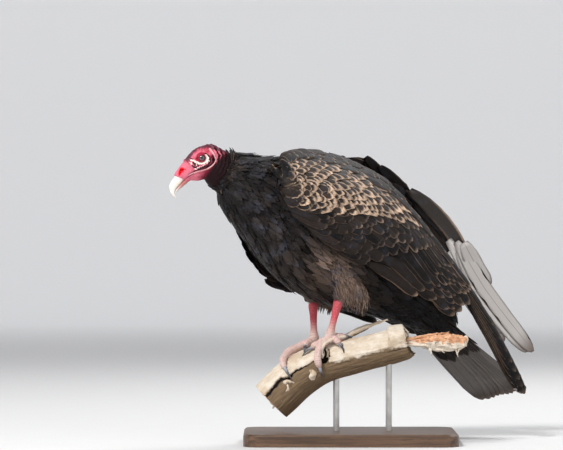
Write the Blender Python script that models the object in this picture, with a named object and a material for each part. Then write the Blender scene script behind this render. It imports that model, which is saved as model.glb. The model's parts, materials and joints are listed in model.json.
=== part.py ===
"""A turkey vulture, life size, gripping a short cut length of branch on a display stand.

Everything below is written in millimetres and turned into metres as each mesh is made.
World: +Z up, origin under the middle of the stand's base, the branch running along X.
Bird: x forward, y to the bird's left, z up, origin between the feet on top of the branch.
Head: x along the skull towards the bill, y left, z to the crown, origin between the eyes.
"""

import math

import bpy
import numpy as np
from mathutils import Matrix, Vector

MM = 0.001
GAP = 0.4  # left between pieces that touch
LEAST = 0.3  # no ring is smaller than this

BIRD_AT = (-48.0, 0.0, 152.0)  # the bird's origin in the world
BIRD_HEADING = 210.0  # degrees about Z: the breast faces -X and a little towards -Y
HEAD_AT = (207.0, -18.4, 302.4)  # between the eyes, in the bird's frame
HEAD_TURN = -25.0  # the head looks to the bird's right, back along the branch
HEAD_DROP = 40.0  # the bill points down by this much

EYE = {"radius": 7.6, "out": 13.2, "sides": 12, "rings": 8}
NOSTRIL = {"at": (37.0, 4.0), "long": 8.5, "high": 4.6}  # one opening right through the cere
TAIL = {"tip": (-363.0, 0.0, -81.0), "slope": 39.8, "roll": 18.0, "length": 200.0,
        "root_half": 30.0, "tip_half": 56.0, "feathers": 12, "round": 16.0, "thick": 4.0}
TARSUS = {"heel_half": 7.5, "shank_half": 5.2, "foot_half": 8.0}
BASE = {"length": 340.0, "width": 240.0, "height": 20.0, "corner": 26.0, "edge": 3.0}
ROD = {"radius": 5.0, "at": (-22.0, 62.0), "into_branch": 14.0, "into_base": 9.0}

# Trunk from the ruff to the vent: x, z, dorsal radius, ventral radius, half width.
TRUNK = [
    (177, 284, 31, 31, 24), (160, 277, 39, 45, 38), (130, 258, 57, 60, 56), (80, 225, 96, 74, 72),
    (20, 185, 124, 92, 80), (-50, 150, 117, 90, 78), (-120, 112, 96, 68, 66), (-180, 76, 62, 48, 50),
    (-226, 40, 32, 30, 36), (-247, 20, 13, 13, 20),
]
# Skull and face from the nape to the edge of the horn, in the head's frame, and the last leans.
HEAD = [
    (-33, -13, 2, 2, 2), (-30, -12, 11, 13.5, 12), (-22, -10, 18.5, 22, 17.8), (-12, -9, 23, 25, 19.6),
    (0, -8, 25.6, 25.5, 19.6), (12, -7, 24.2, 23, 17.8), (22, -6, 21.6, 19.5, 14), (32, -4, 17.2, 13.4, 10.2),
    (41, -3, 13, 12.6, 8.2), (45.5, -3.2, 10.8, 12.2, 7),
]
CERE_LEAN = 24.0
NECK = {"in_skull": [(-6, 0, -10), (-17, 0, -22)], "in_bird": [(178, -2, 281), (150, 0, 268)],
        "radii": (14, 21, 25, 25)}
BILL_UPPER = [
    (43, -2.8, 6.4, 6.2, 6.2), (54, -4.2, 7.0, 6.8, 5.6), (62, -6.3, 7.0, 6.2, 4.6),
    (67, -11, 4.8, 3.8, 3.1), (69.6, -16.5, 2.3, 2.0, 1.7), (70.2, -22.2, 0.4, 0.4, 0.4),
]
BILL_LOWER = [(43, -13.0, 2.6, 3.2, 5.0), (55, -14.2, 1.7, 2.2, 3.8), (64.5, -14.9, 0.7, 0.8, 1.6)]
# Thigh feathers from the hip to the ragged end behind the heel: x, y, z, fore-and-aft half, half width.
THIGH = [
    (10, 46, 158, 56, 30), (-8, 44, 122, 47, 27), (-24, 41, 94, 36, 22), (-29, 39, 76, 25, 17),
    (-33, 38, 60, 9, 8),
]
HEELS = {"left": (-12, 36, 72), "right": (-8, -35, 66)}
# Each wing blade from its front to its tip: lower edge, upper edge, and how far out the middle lies.
WINGS = {
    "left": [
        ((124, 80, 258), (118, 77, 282), 80), ((104, 91, 216), (88, 44, 312), 94),
        ((16, 92, 156), (0, 20, 313), 104), ((-100, 76, 102), (-105, 16, 276), 88),
        ((-213, 62, 48), (-192, 30, 185), 67), ((-300, 64, -24), (-282, 50, 66), 66),
        ((-350, 66, -84), (-356, 65, -58), 67),
    ],
    "right": [
        ((120, -72, 234), (116, -74, 262), -76), ((106, -84, 176), (80, -50, 292), -93),
        ((34, -92, 90), (0, -28, 302), -108), ((-88, -80, 46), (-120, -30, 302), -98),
        ((-235, -66, 12), (-262, -46, 220), -78), ((-350, -60, -12), (-354, -54, 98), -62),
        ((-434, -58, -20), (-441, -58, 2), -58),
    ],
}
# Where one tract of feathers gives way to the next, in stations along the blade, low edge to top edge.
TRACTS = {
    "left": {"covert_tips": (1.5, 4.0), "secondary_tips": (4.1, 5.0),
             "primary_tips": [(0.2, 0.28, 6.0), (0.6, 0.25, 5.8), (0.9, 0.2, 5.4)]},
    "right": {"covert_tips": (1.5, 3.3), "secondary_tips": (3.9, 4.32),
              "primary_tips": [(0.12, 0.22, 6.0), (0.42, 0.22, 5.1), (0.78, 0.3, 4.98)]},
}
# Centre line of the branch from the saw cut to the broken spike: x, z, radius.
BRANCH = [
    (-126, 66, 35), (-110, 82, 36), (-84, 105, 35.5), (-54, 122, 32.5), (-22, 132, 29.5), (14, 140, 27.5),
    (50, 149.5, 27.5), (80, 156.5, 26.5), (92, 159, 24), (95, 160, 14), (116, 160.5, 12), (150, 161, 11),
    (176, 160, 9), (188, 159, 3),
]
# A strip of bark peeled up off the top: x, y, z, half width, half thickness.
PEEL = [
    (-28, 13, 154, 7, 3), (-8, 13, 168.5, 7, 3), (14, 13, 180, 6, 2.6), (38, 12, 189, 5, 2.2), (60, 11, 196.5, 2.5, 1.5),
]
# Foot on the branch: x, angle round from its top, and toes 1 to 4 with their headings over the bark,
# from -X and turning towards -Y, at the root and at the end, then length and radius at root and end.
FEET = {
    "left": {"x": -22, "round": 18, "toes": [
        (205, 200, 20, 6, 4.8), (10, 24, 29, 6, 4.6), (28, 88, 55, 6.6, 4.9), (140, 112, 17, 6, 4.6)]},
    "right": {"x": -44, "round": -22, "toes": [
        (250, 240, 20, 6, 4.8), (48, 70, 22, 6, 4.6), (6, 84, 68, 6.6, 4.9), (-18, -6, 36, 6, 4.6)]},
}
CLAW = {"share": 0.12, "arch": 2.4, "root": 0.7}


def rotation(axis, degrees):
    return Matrix.Rotation(math.radians(degrees), 4, axis)


BIRD = Matrix.Translation(BIRD_AT) @ rotation("Z", BIRD_HEADING)
SKULL = BIRD @ Matrix.Translation(HEAD_AT) @ rotation("Z", HEAD_TURN) @ rotation("Y", HEAD_DROP)
FRAMES = {"bird_frame": BIRD, "skull_frame": SKULL}
PAINTS = {
    "plumage": ((0.022, 0.018, 0.017), 0.62, 0.0),
    "flight_feathers": ((0.05, 0.036, 0.028), 0.55, 0.0),
    "skin_red": ((0.5, 0.07, 0.09), 0.5, 0.0),
    "leg_skin": ((0.66, 0.3, 0.28), 0.6, 0.0),
    "horn": ((0.87, 0.82, 0.72), 0.35, 0.0),
    "claw": ((0.16, 0.15, 0.17), 0.4, 0.0),
    "eye": ((0.07, 0.06, 0.06), 0.05, 0.0),
    "bark": ((0.5, 0.38, 0.26), 0.85, 0.0),
    "stand_wood": ((0.09, 0.05, 0.03), 0.35, 0.0),
    "steel": ((0.6, 0.6, 0.6), 0.3, 1.0),
}


def clear_scene():
    for old in list(bpy.data.objects):
        bpy.data.objects.remove(old)


def place(made, frame):
    """Sets an object's place and turn from a matrix in millimetres."""
    made.location = frame.to_translation() * MM
    made.rotation_euler = frame.to_euler()


def add_frames():
    """Empties that the bird's pieces and the head's pieces hang from."""
    for name, frame in FRAMES.items():
        holder = bpy.data.objects.new(name, None)
        bpy.context.scene.collection.objects.link(holder)
        place(holder, frame)


def paint(name):
    """The Principled material of this finish, made once."""
    made = bpy.data.materials.get(name)
    if made:
        return made
    colour, roughness, metallic = PAINTS[name]
    made = bpy.data.materials.new(name)
    made.use_nodes = True
    shader = made.node_tree.nodes["Principled BSDF"]
    shader.inputs["Base Color"].default_value = (*colour, 1)
    shader.inputs["Roughness"].default_value = roughness
    shader.inputs["Metallic"].default_value = metallic
    return made


def smooth(rows, at):
    """Cubic curve through rows of numbers, read at station numbers that may be fractions."""
    rows = np.asarray(rows, float)
    at = np.clip(np.asarray(at, float), 0, len(rows) - 1)
    slope = np.gradient(rows, axis=0)
    low = np.minimum(at.astype(int), len(rows) - 2)
    t = (at - low)[..., None]
    a, b = rows[low], rows[low + 1]
    return (
        a * (1 + 2 * t) * (1 - t) ** 2 + b * (3 - 2 * t) * t**2
        + slope[low] * t * (1 - t) ** 2 - slope[low + 1] * t**2 * (1 - t)
    )


def solid(name, points, faces, finish, frame=None, cutter=False, within=None):
    """An object from points in millimetres, hung from a named frame, at a matrix within it if one is given."""
    points = np.asarray(points, float)
    fans = np.array([(f[0], f[i], f[i + 1]) for f in faces for i in range(1, len(f) - 1)])
    if np.linalg.det(points[fans]).sum() < 0:
        faces = [face[::-1] for face in faces]
    mesh = bpy.data.meshes.new(name)
    mesh.from_pydata((points * MM).tolist(), [], faces)
    mesh.update()
    mesh.shade_smooth()
    mesh.set_sharp_from_angle(angle=math.radians(50))
    made = bpy.data.objects.new(name, mesh)
    bpy.context.scene.collection.objects.link(made)
    if frame:
        made.parent = bpy.data.objects[frame]
    if within:
        place(made, within)
    mesh.materials.append(paint(finish))
    if cutter:
        made.hide_render = True
        made.display_type = "WIRE"
    return made


def tube_faces(rings, sides):
    """Quads between rings, with both ends closed by one face."""
    faces = [
        (i * sides + j, i * sides + (j + 1) % sides, (i + 1) * sides + (j + 1) % sides, (i + 1) * sides + j)
        for i in range(rings - 1)
        for j in range(sides)
    ]
    first = tuple(range(sides))[::-1]
    last = tuple((rings - 1) * sides + j for j in range(sides))
    return [*faces, first, last]


def body_loft(stations, sides, steps, grow=0.0, end_lean=0.0):
    """Rings square to a centre line in the x-z plane: wider above or below it as the stations say."""
    at = np.linspace(0, len(stations) - 1, steps)
    x, z, above, below, half = smooth(stations, at).T
    along = np.gradient(np.stack([x, z]), axis=1)
    lean = np.arctan2(along[1], along[0])
    lean[-1] -= math.radians(end_lean)
    first_gap = math.hypot(x[1] - x[0], z[1] - z[0])
    x[0] -= 2 * grow * (x[1] - x[0]) / first_gap
    z[0] -= 2 * grow * (z[1] - z[0]) / first_gap
    turn = np.linspace(0, 2 * np.pi, sides, endpoint=False)
    c, s = np.cos(turn), np.sin(turn)
    above, below, half = (np.maximum(v, LEAST)[:, None] + grow for v in (above, below, half))
    rise = np.where(s >= 0, above, below) * s * np.sign(x[-1] - x[0])
    return np.stack(
        [
            x[:, None] - np.sin(lean)[:, None] * rise,
            np.sign(x[0] - x[-1]) * half * c,
            z[:, None] + np.cos(lean)[:, None] * rise,
        ],
        axis=2,
    )


def loft(name, rings, finish, frame=None, cutter=False):
    rings = np.asarray(rings)
    steps, sides, _ = rings.shape
    return solid(name, rings.reshape(-1, 3), tube_faces(steps, sides), finish, frame, cutter)


def path_loft(path, radii, sides, flat=1.0):
    """Round rings carried along a path of points, in a frame that doesn't twist; flat squeezes them upwards."""
    path, radii = np.asarray(path, float), np.asarray(radii, float)
    ahead = np.gradient(path, axis=0)
    ahead /= np.linalg.norm(ahead, axis=1)[:, None]
    side = np.cross(ahead, (0.0, 0.0, 1.0))
    side[np.linalg.norm(side, axis=1) < 0.2] = (0, 1, 0)
    for i in range(1, len(side)):
        side[i] = side[i - 1] - ahead[i] * (side[i - 1] @ ahead[i])
    side /= np.linalg.norm(side, axis=1)[:, None]
    up = np.cross(side, ahead)
    turn = np.linspace(0, 2 * np.pi, sides, endpoint=False)[None, :, None]
    spread = radii[:, None, None]
    return path[:, None] + spread * (flat * np.sin(turn) * up[:, None] - np.cos(turn) * side[:, None])


def cut(target, *cutters):
    for tool in cutters:
        step = target.modifiers.new(f"less_{tool.name}", "BOOLEAN")
        step.operation = "DIFFERENCE"
        step.object = tool


def joined(target, *others):
    for other in others:
        step = target.modifiers.new(f"with_{other.name}", "BOOLEAN")
        step.operation = "UNION"
        step.object = other
        other.hide_render = True
        other.display_type = "WIRE"


def outward(grid, hint):
    """Unit normals of a grid of points, on the side that the hint points to."""
    down, across = np.gradient(grid, axis=0), np.gradient(grid, axis=1)
    normal = np.cross(across, down)
    normal /= np.linalg.norm(normal, axis=2)[..., None]
    return normal if (normal.mean(axis=(0, 1)) @ np.asarray(hint, float)) > 0 else -normal


def slab(name, outer, inner, finish, frame, cutter=False):
    """A closed wall between two grids of points."""
    rows, columns, _ = outer.shape
    points = np.concatenate([outer.reshape(-1, 3), inner.reshape(-1, 3)])
    size = rows * columns
    faces = []
    for i in range(rows - 1):
        for j in range(columns - 1):
            a, b = i * columns + j, (i + 1) * columns + j
            faces.append((a, a + 1, b + 1, b))
            faces.append((size + a, size + b, size + b + 1, size + a + 1))
    rim = (
        [j for j in range(columns)]
        + [i * columns + columns - 1 for i in range(1, rows)]
        + [(rows - 1) * columns + j for j in range(columns - 2, -1, -1)]
        + [i * columns for i in range(rows - 2, 0, -1)]
    )
    for a, b in zip(rim, rim[1:] + rim[:1]):
        faces.append((b, a, size + a, size + b))
    return solid(name, points, faces, finish, frame, cutter)


def blade(side, along, across):
    """Points of a wing's outer surface: stations along it, and 0 at its lower edge to 1 at its upper edge."""
    stations = WINGS[side]
    low = smooth([s[0] for s in stations], along)
    high = smooth([s[1] for s in stations], along)
    middle = (low + high) / 2
    middle[..., 1] = smooth([[s[2]] for s in stations], along)[..., 0]
    v = across[..., None]
    return low * (2 * v - 1) * (v - 1) + middle * 4 * v * (1 - v) + high * v * (2 * v - 1)


def scallops(across, count, depth):
    """Rounded feather tips in a row: how far each point of the edge falls short of its tip."""
    place = (across * count) % 1.0 * 2 - 1
    return -depth * np.abs(place) ** 2.5


def tip_line(across, tips):
    """The outline of a few separate feather tips, each given by its place, half width and reach."""
    reach = [tip - 0.9 * np.clip(np.abs(across - at) / half, 0, 1) ** 4 for at, half, tip in tips]
    return np.max(reach, axis=0)


def wing_tract(name, side, start, end, steps, columns, sink, thickness):
    """One tract of a wing: from the start line to the end line, each a number of stations at every column."""
    across = np.linspace(0, 1, columns)[None, :]
    share = np.linspace(0, 1, steps)[:, None]
    along = start(across) * (1 - share) + end(across) * share
    surface = blade(side, along, np.broadcast_to(across, along.shape))
    normal = outward(surface, (0, 1 if side == "left" else -1, 0))
    depth = sink + np.interp(share, np.linspace(0, 1, len(thickness)), thickness)
    inner = surface - normal * (depth + 0 * along)[..., None]
    return slab(name, surface - normal * sink, inner, "flight_feathers", "bird_frame")


def build_wing(side):
    """Coverts over the arm, then secondaries, then primaries, each a little thinner and deeper than the last."""
    lines = TRACTS[side]

    def part(v):
        """Stations left between two tracts."""
        return 0.025 + 0.05 * (1 - v) ** 3

    def boundary(name, count):
        low, high = lines[name]
        return lambda v: low + (high - low) * v**0.85 + scallops(v, count, 0.1)

    coverts_end = boundary("covert_tips", 7)
    secondaries_end = boundary("secondary_tips", 8)
    wing_tract(f"wing_{side}_coverts", side, lambda v: 0 * v, coverts_end, 7, 15, 0.0, (4, 12, 11, 8, 5))
    wing_tract(f"wing_{side}_secondaries", side, lambda v: coverts_end(v) + part(v), secondaries_end,
               6, 17, 1.5, (5, 4))
    wing_tract(f"wing_{side}_primaries", side, lambda v: secondaries_end(v) + part(v),
               lambda v: tip_line(v, lines["primary_tips"]), 6, 19, 2.5, (3.5, 3))


def wing_hollow(side):
    """Cutter that clears the trunk and thighs away from a wing, inside it and outwards."""
    along, across = np.meshgrid(np.linspace(0, 6, 26), np.linspace(-0.04, 1.04, 11), indexing="ij")
    surface = blade(side, along, across)
    normal = outward(surface, (0, 1 if side == "left" else -1, 0))
    surface[0] += 0.1 * (surface[0] - surface[1])
    depth = np.interp(along, [0, 0.375, 2, 4, 6], [8, 16, 16, 11, 9]) + GAP
    return slab(f"hollow_{side}", surface + normal * 26, surface - normal * depth[..., None],
                "plumage", "bird_frame", cutter=True)


def build_trunk(hollows):
    trunk = loft("trunk", body_loft(TRUNK, 20, 16), "plumage", "bird_frame")
    cut(trunk, *hollows)
    return trunk


def build_tail(trunk_cutter):
    """A closed fan of feathers under the rump, rounded at its end and each tip rounded too."""
    columns, rows = 25, 5
    v = np.linspace(0, 1, columns)[None, :]
    share = np.linspace(0, 1, rows)[:, None]
    offset = v * 2 - 1
    reach = TAIL["length"] - TAIL["round"] * offset**2 + scallops(v, TAIL["feathers"], 5.0)
    half = TAIL["root_half"] + (TAIL["tip_half"] - TAIL["root_half"]) * share
    back = reach * share - TAIL["length"]
    arch = -9.0 * offset**2 + 0 * share
    local = np.stack([-back, half * offset, arch], axis=2)
    place = Matrix.Translation(TAIL["tip"]) @ rotation("Y", -TAIL["slope"]) @ rotation("X", TAIL["roll"])
    upper = local @ np.array(place.to_3x3()).T + np.array(TAIL["tip"])
    tail = slab("tail", upper, upper - outward(upper, (0, 0, 1)) * TAIL["thick"], "flight_feathers", "bird_frame")
    cut(tail, trunk_cutter)
    return tail


def build_head():
    """Head, eyes and the two halves of the bill, all in the skull's frame, and the sockets in the head."""
    head = loft("head", body_loft(HEAD, 18, 16, end_lean=-CERE_LEAN), "skin_red", "skull_frame")
    for side, sign in (("left", 1), ("right", -1)):
        seat = Matrix.Translation((0, sign * EYE["out"], 0)) @ rotation("X", -90 * sign)
        ball(f"eye_{side}", EYE["radius"], EYE["sides"], EYE["rings"], "eye", seat)
        cut(head, ball(f"socket_{side}", EYE["radius"] + GAP, 14, 10, "eye", seat, cutter=True))
    turn = np.linspace(0, 2 * np.pi, 10, endpoint=False)
    slot = np.stack([NOSTRIL["at"][0] + NOSTRIL["long"] / 2 * np.cos(turn), 0 * turn,
                     NOSTRIL["at"][1] + NOSTRIL["high"] / 2 * np.sin(turn)], axis=1)
    cut(head, loft("nares", np.stack([slot + (0, -30, 0), slot + (0, 30, 0)]), "skin_red", "skull_frame", True))
    shell = loft("head_cutter", body_loft(HEAD, 18, 16, grow=GAP, end_lean=-CERE_LEAN), "skin_red", "skull_frame", True)
    upper = loft("bill_upper", body_loft(BILL_UPPER, 12, 12), "horn", "skull_frame")
    lower = loft("bill_lower", body_loft(BILL_LOWER, 12, 6), "horn", "skull_frame")
    cut(upper, shell)
    cut(lower, shell)
    return head


def ball(name, radius, sides, rings, finish, seat, cutter=False):
    """A globe in the head, with its poles on the z axis of its seat."""
    turn = np.linspace(0, 2 * np.pi, sides, endpoint=False)
    level = np.linspace(0, np.pi, rings + 1)[1:-1]
    ring = np.stack(
        [
            np.sin(level)[:, None] * np.cos(turn), np.sin(level)[:, None] * np.sin(turn),
            np.cos(level)[:, None] + 0 * turn,
        ],
        axis=2,
    ).reshape(-1, 3)
    points = np.concatenate([ring, [(0, 0, 1), (0, 0, -1)]]) * radius
    last = (rings - 2) * sides
    top, bottom = len(points) - 2, len(points) - 1
    faces = [
        (i * sides + j, (i + 1) * sides + j, (i + 1) * sides + (j + 1) % sides, i * sides + (j + 1) % sides)
        for i in range(rings - 2)
        for j in range(sides)
    ]
    faces += [(top, j, (j + 1) % sides) for j in range(sides)]
    faces += [(bottom, last + (j + 1) % sides, last + j) for j in range(sides)]
    return solid(name, points, faces, finish, "skull_frame", cutter, seat)


def build_neck(trunk_cutter):
    """Bare neck from the back of the skull down into the ruff."""
    to_bird = BIRD.inverted() @ SKULL
    path = [to_bird @ Vector(place) for place in NECK["in_skull"]] + [Vector(place) for place in NECK["in_bird"]]
    stations = [(*place, radius) for place, radius in zip(path, NECK["radii"])]
    *route, radii = smooth(stations, np.linspace(0, len(path) - 1, 7)).T
    route = np.transpose(route)
    neck = loft("neck", path_loft(route, radii, 16, flat=1.22), "skin_red", "bird_frame")
    cut(neck, bpy.data.objects["head_cutter"], trunk_cutter)


def build_thigh(side, trunk_cutter, hollow):
    """Feathered thigh with its loose end behind the heel."""
    sign = 1 if side == "left" else -1
    forward = 0 if side == "left" else 8
    at = np.linspace(0, len(THIGH) - 1, 9)
    x, y, z, fore, half = smooth(THIGH, at).T
    turn = np.linspace(0, 2 * np.pi, 16, endpoint=False)
    rings = np.stack(
        [
            (x + forward)[:, None] + fore[:, None] * np.cos(turn),
            sign * y[:, None] + half[:, None] * np.sin(turn) * -1,
            z[:, None] + 0.25 * fore[:, None] * np.cos(turn),
        ],
        axis=2,
    )
    thigh = loft(f"thigh_{side}", rings, "plumage", "bird_frame")
    cut(thigh, trunk_cutter, hollow)
    return thigh


def branch_line(at):
    """Centre, radius and the upward normal of the branch at station numbers."""
    x, z, radius = smooth(BRANCH, at).T
    ahead = np.stack([np.gradient(x), np.gradient(z)])
    ahead /= np.linalg.norm(ahead, axis=0)
    return np.stack([x, 0 * x, z], axis=1), radius, np.stack([-ahead[1], 0 * x, ahead[0]], axis=1)


def on_branch(x, degrees, lift):
    """A point over the branch's skin: x along it, degrees round from its top towards -Y, lifted off it."""
    at = np.linspace(0, len(BRANCH) - 1, 600)
    centre, radius, up = branch_line(at)
    pick = [np.interp(x, centre[:, 0], values) for values in (centre[:, 2], radius, up[:, 0], up[:, 2])]
    z, r, up_x, up_z = pick
    angle = np.radians(degrees)
    out = (r + lift) * np.cos(angle)
    return np.stack([x + out * up_x, -(r + lift) * np.sin(angle), z + out * up_z], axis=-1)


def bark_relief(along, turn):
    """Shallow ridges and hollows over the bark, as a share of the radius."""
    return (
        0.022 * np.sin(3 * turn + 0.05 * along) + 0.016 * np.sin(5 * turn - 0.09 * along + 1.3)
        + 0.014 * np.sin(0.11 * along + 2 * turn)
    )


def build_branch(rod_holes):
    """The cut length of branch: rough bark, a saw cut at its low end and a torn spike at the other."""
    sides, steps = 14, 27
    at = np.linspace(0, len(BRANCH) - 1, steps)
    centre, radius, up = branch_line(at)
    turn = np.linspace(0, 2 * np.pi, sides, endpoint=False)
    relief = 1 + bark_relief(centre[:, :1], turn) - 0.05
    # The spike is what is left of the upper half, so its underside is flat.
    torn = np.clip(at - 8, 0, 1)[:, None]
    flat = np.where(np.sin(turn) < 0, 1 - 0.45 * torn, 1.0)
    spread = radius[:, None] * relief
    rings = (
        centre[:, None]
        + (spread * np.cos(turn))[..., None] * np.array((0.0, -1.0, 0.0))
        + (spread * np.sin(turn) * flat)[..., None] * up[:, None]
    )
    branch = loft("perch_branch", rings, "bark")
    x, y, z, half, thin = smooth(PEEL, np.linspace(0, len(PEEL) - 1, 9)).T
    turn = np.linspace(0, 2 * np.pi, 8, endpoint=False)
    strip = np.stack([0 * turn + x[:, None], y[:, None] + half[:, None] * np.cos(turn),
                      z[:, None] + thin[:, None] * np.sin(turn)], axis=2)
    joined(branch, loft("peel", strip, "bark"))
    cut(branch, *rod_holes)
    return branch


def build_foot(side):
    """Shank and four toes that curl round the branch, joined as one leg, and a claw on each toe."""
    foot = FEET[side]
    heel = np.array(BIRD @ Vector(HEELS[side]))
    ankle = on_branch(foot["x"], foot["round"], 14.0)
    knuckle = on_branch(foot["x"], foot["round"], 9.5)
    lean = heel - ankle
    path = [knuckle, ankle + 0.05 * lean, ankle + 0.3 * lean, ankle + 0.7 * lean, heel, heel + 0.1 * lean]
    radii = [TARSUS["foot_half"] * 0.7, TARSUS["foot_half"], TARSUS["shank_half"], TARSUS["shank_half"] * 1.1,
             TARSUS["heel_half"], TARSUS["heel_half"] * 0.8]
    leg = loft(f"leg_{side}", path_loft(path, radii, 9), "leg_skin")
    cut(leg, bpy.data.objects["trunk_cutter"])
    cut(bpy.data.objects[f"thigh_{side}"],
        loft(f"sleeve_{side}", path_loft([*path, heel + 0.14 * lean], np.array([*radii, radii[-1]]) + GAP, 10),
             "leg_skin", cutter=True))
    for number, toe in enumerate(foot["toes"], 1):
        route, radii, lift = toe_route(foot, toe)
        joined(leg, loft(f"toe_{side}_{number}", path_loft(route, radii, 7), "leg_skin"))
        build_claw(f"claw_{side}_{number}", foot, toe, radii[-1], lift[-1])
    return leg


def over_bark(foot, headings, gone, lift):
    """Points these distances out from the ball of the foot, along a walk over the bark that turns as the toe does."""
    fine = np.linspace(0, max(gone), 200)
    share = np.clip(fine / headings[2], 0, 1)
    heading = np.radians(headings[0] + (headings[1] - headings[0]) * share)
    step = np.diff(fine, prepend=0)
    x = foot["x"] - np.cumsum(np.cos(heading) * step)
    degrees = foot["round"] + np.degrees(np.cumsum(np.sin(heading) * step) / 35.0)
    return on_branch(np.interp(gone, fine, x), np.interp(gone, fine, degrees), lift)


def toe_route(foot, toe):
    """The toe's centre line out over the bark, its radius with swollen joints, and its lift."""
    _, _, length, root, end = toe
    share = np.linspace(0, 1, 8)
    radii = root + (end - root) * share + 0.5 * np.sin(share * 3 * np.pi) ** 2
    radii[-1] *= 0.8
    lift = radii + GAP + 0.9 + 5.0 * np.exp(-share * length / 9)
    return over_bark(foot, toe, share * length, lift), radii, lift


def build_claw(name, foot, toe, radius, lift):
    """A curved horn that goes on from the toe's end and comes down onto the bark."""
    length = toe[2]
    size = 11.0 + CLAW["share"] * length
    share = np.array([0, 0.06, 0.25, 0.5, 0.75, 1])
    thick = radius * CLAW["root"] * (1 - share) ** 0.7 + 0.35
    eased = share**2 * (3 - 2 * share)
    rise = CLAW["arch"] * np.sin(np.pi * share) ** 2 + lift * (1 - eased) + (GAP + 1.8) * eased
    line = over_bark(foot, toe, length + GAP + 1.8 + size * share, np.maximum(rise, thick + GAP + 1.2))
    loft(name, path_loft(line, thick, 6), "claw")


def pillar(name, x, y, low, high, radius, sides, finish, cutter=False):
    turn = np.linspace(0, 2 * np.pi, sides, endpoint=False)
    ring = np.stack([x + radius * np.cos(turn), y + radius * np.sin(turn), 0 * turn], axis=1)
    rings = np.stack([ring + (0, 0, low), ring + (0, 0, high)])
    return loft(name, rings, finish, cutter=cutter)


def build_stand():
    """Base board and two rods, which sit in blind holes in the board and the branch."""
    length, width, corner = BASE["length"] / 2, BASE["width"] / 2, BASE["corner"]
    turn = np.linspace(0, np.pi / 2, 7)
    arc = np.stack([np.cos(turn), np.sin(turn)], axis=1)
    quarter = arc * corner + (length - corner, width - corner)
    half = np.concatenate([quarter, quarter[::-1] * (-1, 1)])
    outline = np.concatenate([half, half[::-1] * (1, -1)])
    edge = BASE["edge"]
    inset = outline * (1 - edge / length)
    levels = [(outline, 0.0), (outline, BASE["height"] - edge), (inset, BASE["height"])]
    rings = np.stack([np.column_stack([ring, np.full(len(ring), z)]) for ring, z in levels])
    base = loft("stand_base", rings, "stand_wood")
    holes = []
    for number, x in enumerate(ROD["at"], 1):
        bottom = BASE["height"] - ROD["into_base"]
        under = float(on_branch(float(x), 180.0, 0.0)[2])
        top = under + ROD["into_branch"]
        pillar(f"stand_rod_{number}", x, 0, bottom + GAP, top, ROD["radius"], 16, "steel")
        well = pillar(f"well_{number}", x, 0, bottom, BASE["height"] + 5, ROD["radius"] + GAP, 16, "steel", True)
        cut(base, well)
        holes.append(
            pillar(f"bore_{number}", x, 0, under - 12, top + GAP, ROD["radius"] + GAP, 16, "steel", True)
        )
    return holes


def build():
    clear_scene()
    add_frames()
    build_branch(build_stand())
    hollows = {side: wing_hollow(side) for side in WINGS}
    trunk = build_trunk(hollows.values())
    trunk_cutter = loft("trunk_cutter", body_loft(TRUNK, 20, 16, grow=GAP), "plumage", "bird_frame", cutter=True)
    build_tail(trunk_cutter)
    build_head()
    cut(trunk, bpy.data.objects["head_cutter"])
    build_neck(trunk_cutter)
    for side in WINGS:
        build_wing(side)
        build_thigh(side, trunk_cutter, hollows[side])
        build_foot(side)


build()
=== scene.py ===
import json
import math

import bpy
import numpy as np
from mathutils import Matrix

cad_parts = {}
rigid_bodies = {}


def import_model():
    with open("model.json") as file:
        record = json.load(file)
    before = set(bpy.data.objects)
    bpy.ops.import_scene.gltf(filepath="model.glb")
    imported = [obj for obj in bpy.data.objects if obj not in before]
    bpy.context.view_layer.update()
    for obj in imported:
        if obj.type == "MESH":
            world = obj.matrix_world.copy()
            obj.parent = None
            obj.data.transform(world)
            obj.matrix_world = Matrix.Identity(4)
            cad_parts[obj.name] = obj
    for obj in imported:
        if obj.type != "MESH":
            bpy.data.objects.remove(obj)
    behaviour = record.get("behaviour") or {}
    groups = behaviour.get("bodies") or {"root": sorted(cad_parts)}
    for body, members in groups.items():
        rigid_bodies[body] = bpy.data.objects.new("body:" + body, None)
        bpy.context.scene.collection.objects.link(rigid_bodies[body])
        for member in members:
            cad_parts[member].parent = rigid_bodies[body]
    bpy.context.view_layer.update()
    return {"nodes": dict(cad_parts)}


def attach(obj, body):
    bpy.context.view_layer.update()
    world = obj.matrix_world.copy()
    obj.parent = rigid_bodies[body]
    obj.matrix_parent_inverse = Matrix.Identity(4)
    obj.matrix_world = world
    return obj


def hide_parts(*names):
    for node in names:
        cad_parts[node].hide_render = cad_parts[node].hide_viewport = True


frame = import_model()
mm = 0.001  # every size below is in millimetres
chance = np.random.default_rng(11)
print("frame loaded:", len(frame["nodes"]), "solids")

# Where the bird and its skull sit, as in the solids: x forward, y to its left, z up.
pose = {"birdAt": (-48.0, 0.0, 152.0), "heading": 210.0,
        "headAt": (207.0, -18.4, 302.4), "headTurn": -25.0, "headDrop": 40.0}


def turned(axis, degrees):  # the 3 x 3 turn about one axis
    return np.array(Matrix.Rotation(math.radians(degrees), 3, axis))


birdTurn = turned("Z", pose["heading"])
birdAt = np.array(pose["birdAt"])
skullTurn = birdTurn @ turned("Z", pose["headTurn"]) @ turned("Y", pose["headDrop"])
skullAt = birdAt + birdTurn @ np.array(pose["headAt"])


def fromBird(points):  # from the bird's frame to the room's
    return np.asarray(points, float) @ birdTurn.T + birdAt


def toBird(points):  # from the room's frame to the bird's
    return (np.asarray(points) - birdAt) @ birdTurn


def fromSkull(points):  # from the skull's frame to the room's
    return np.asarray(points, float) @ skullTurn.T + skullAt


def toSkull(points):  # from the room's frame to the skull's
    return (points - skullAt) @ skullTurn


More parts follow.
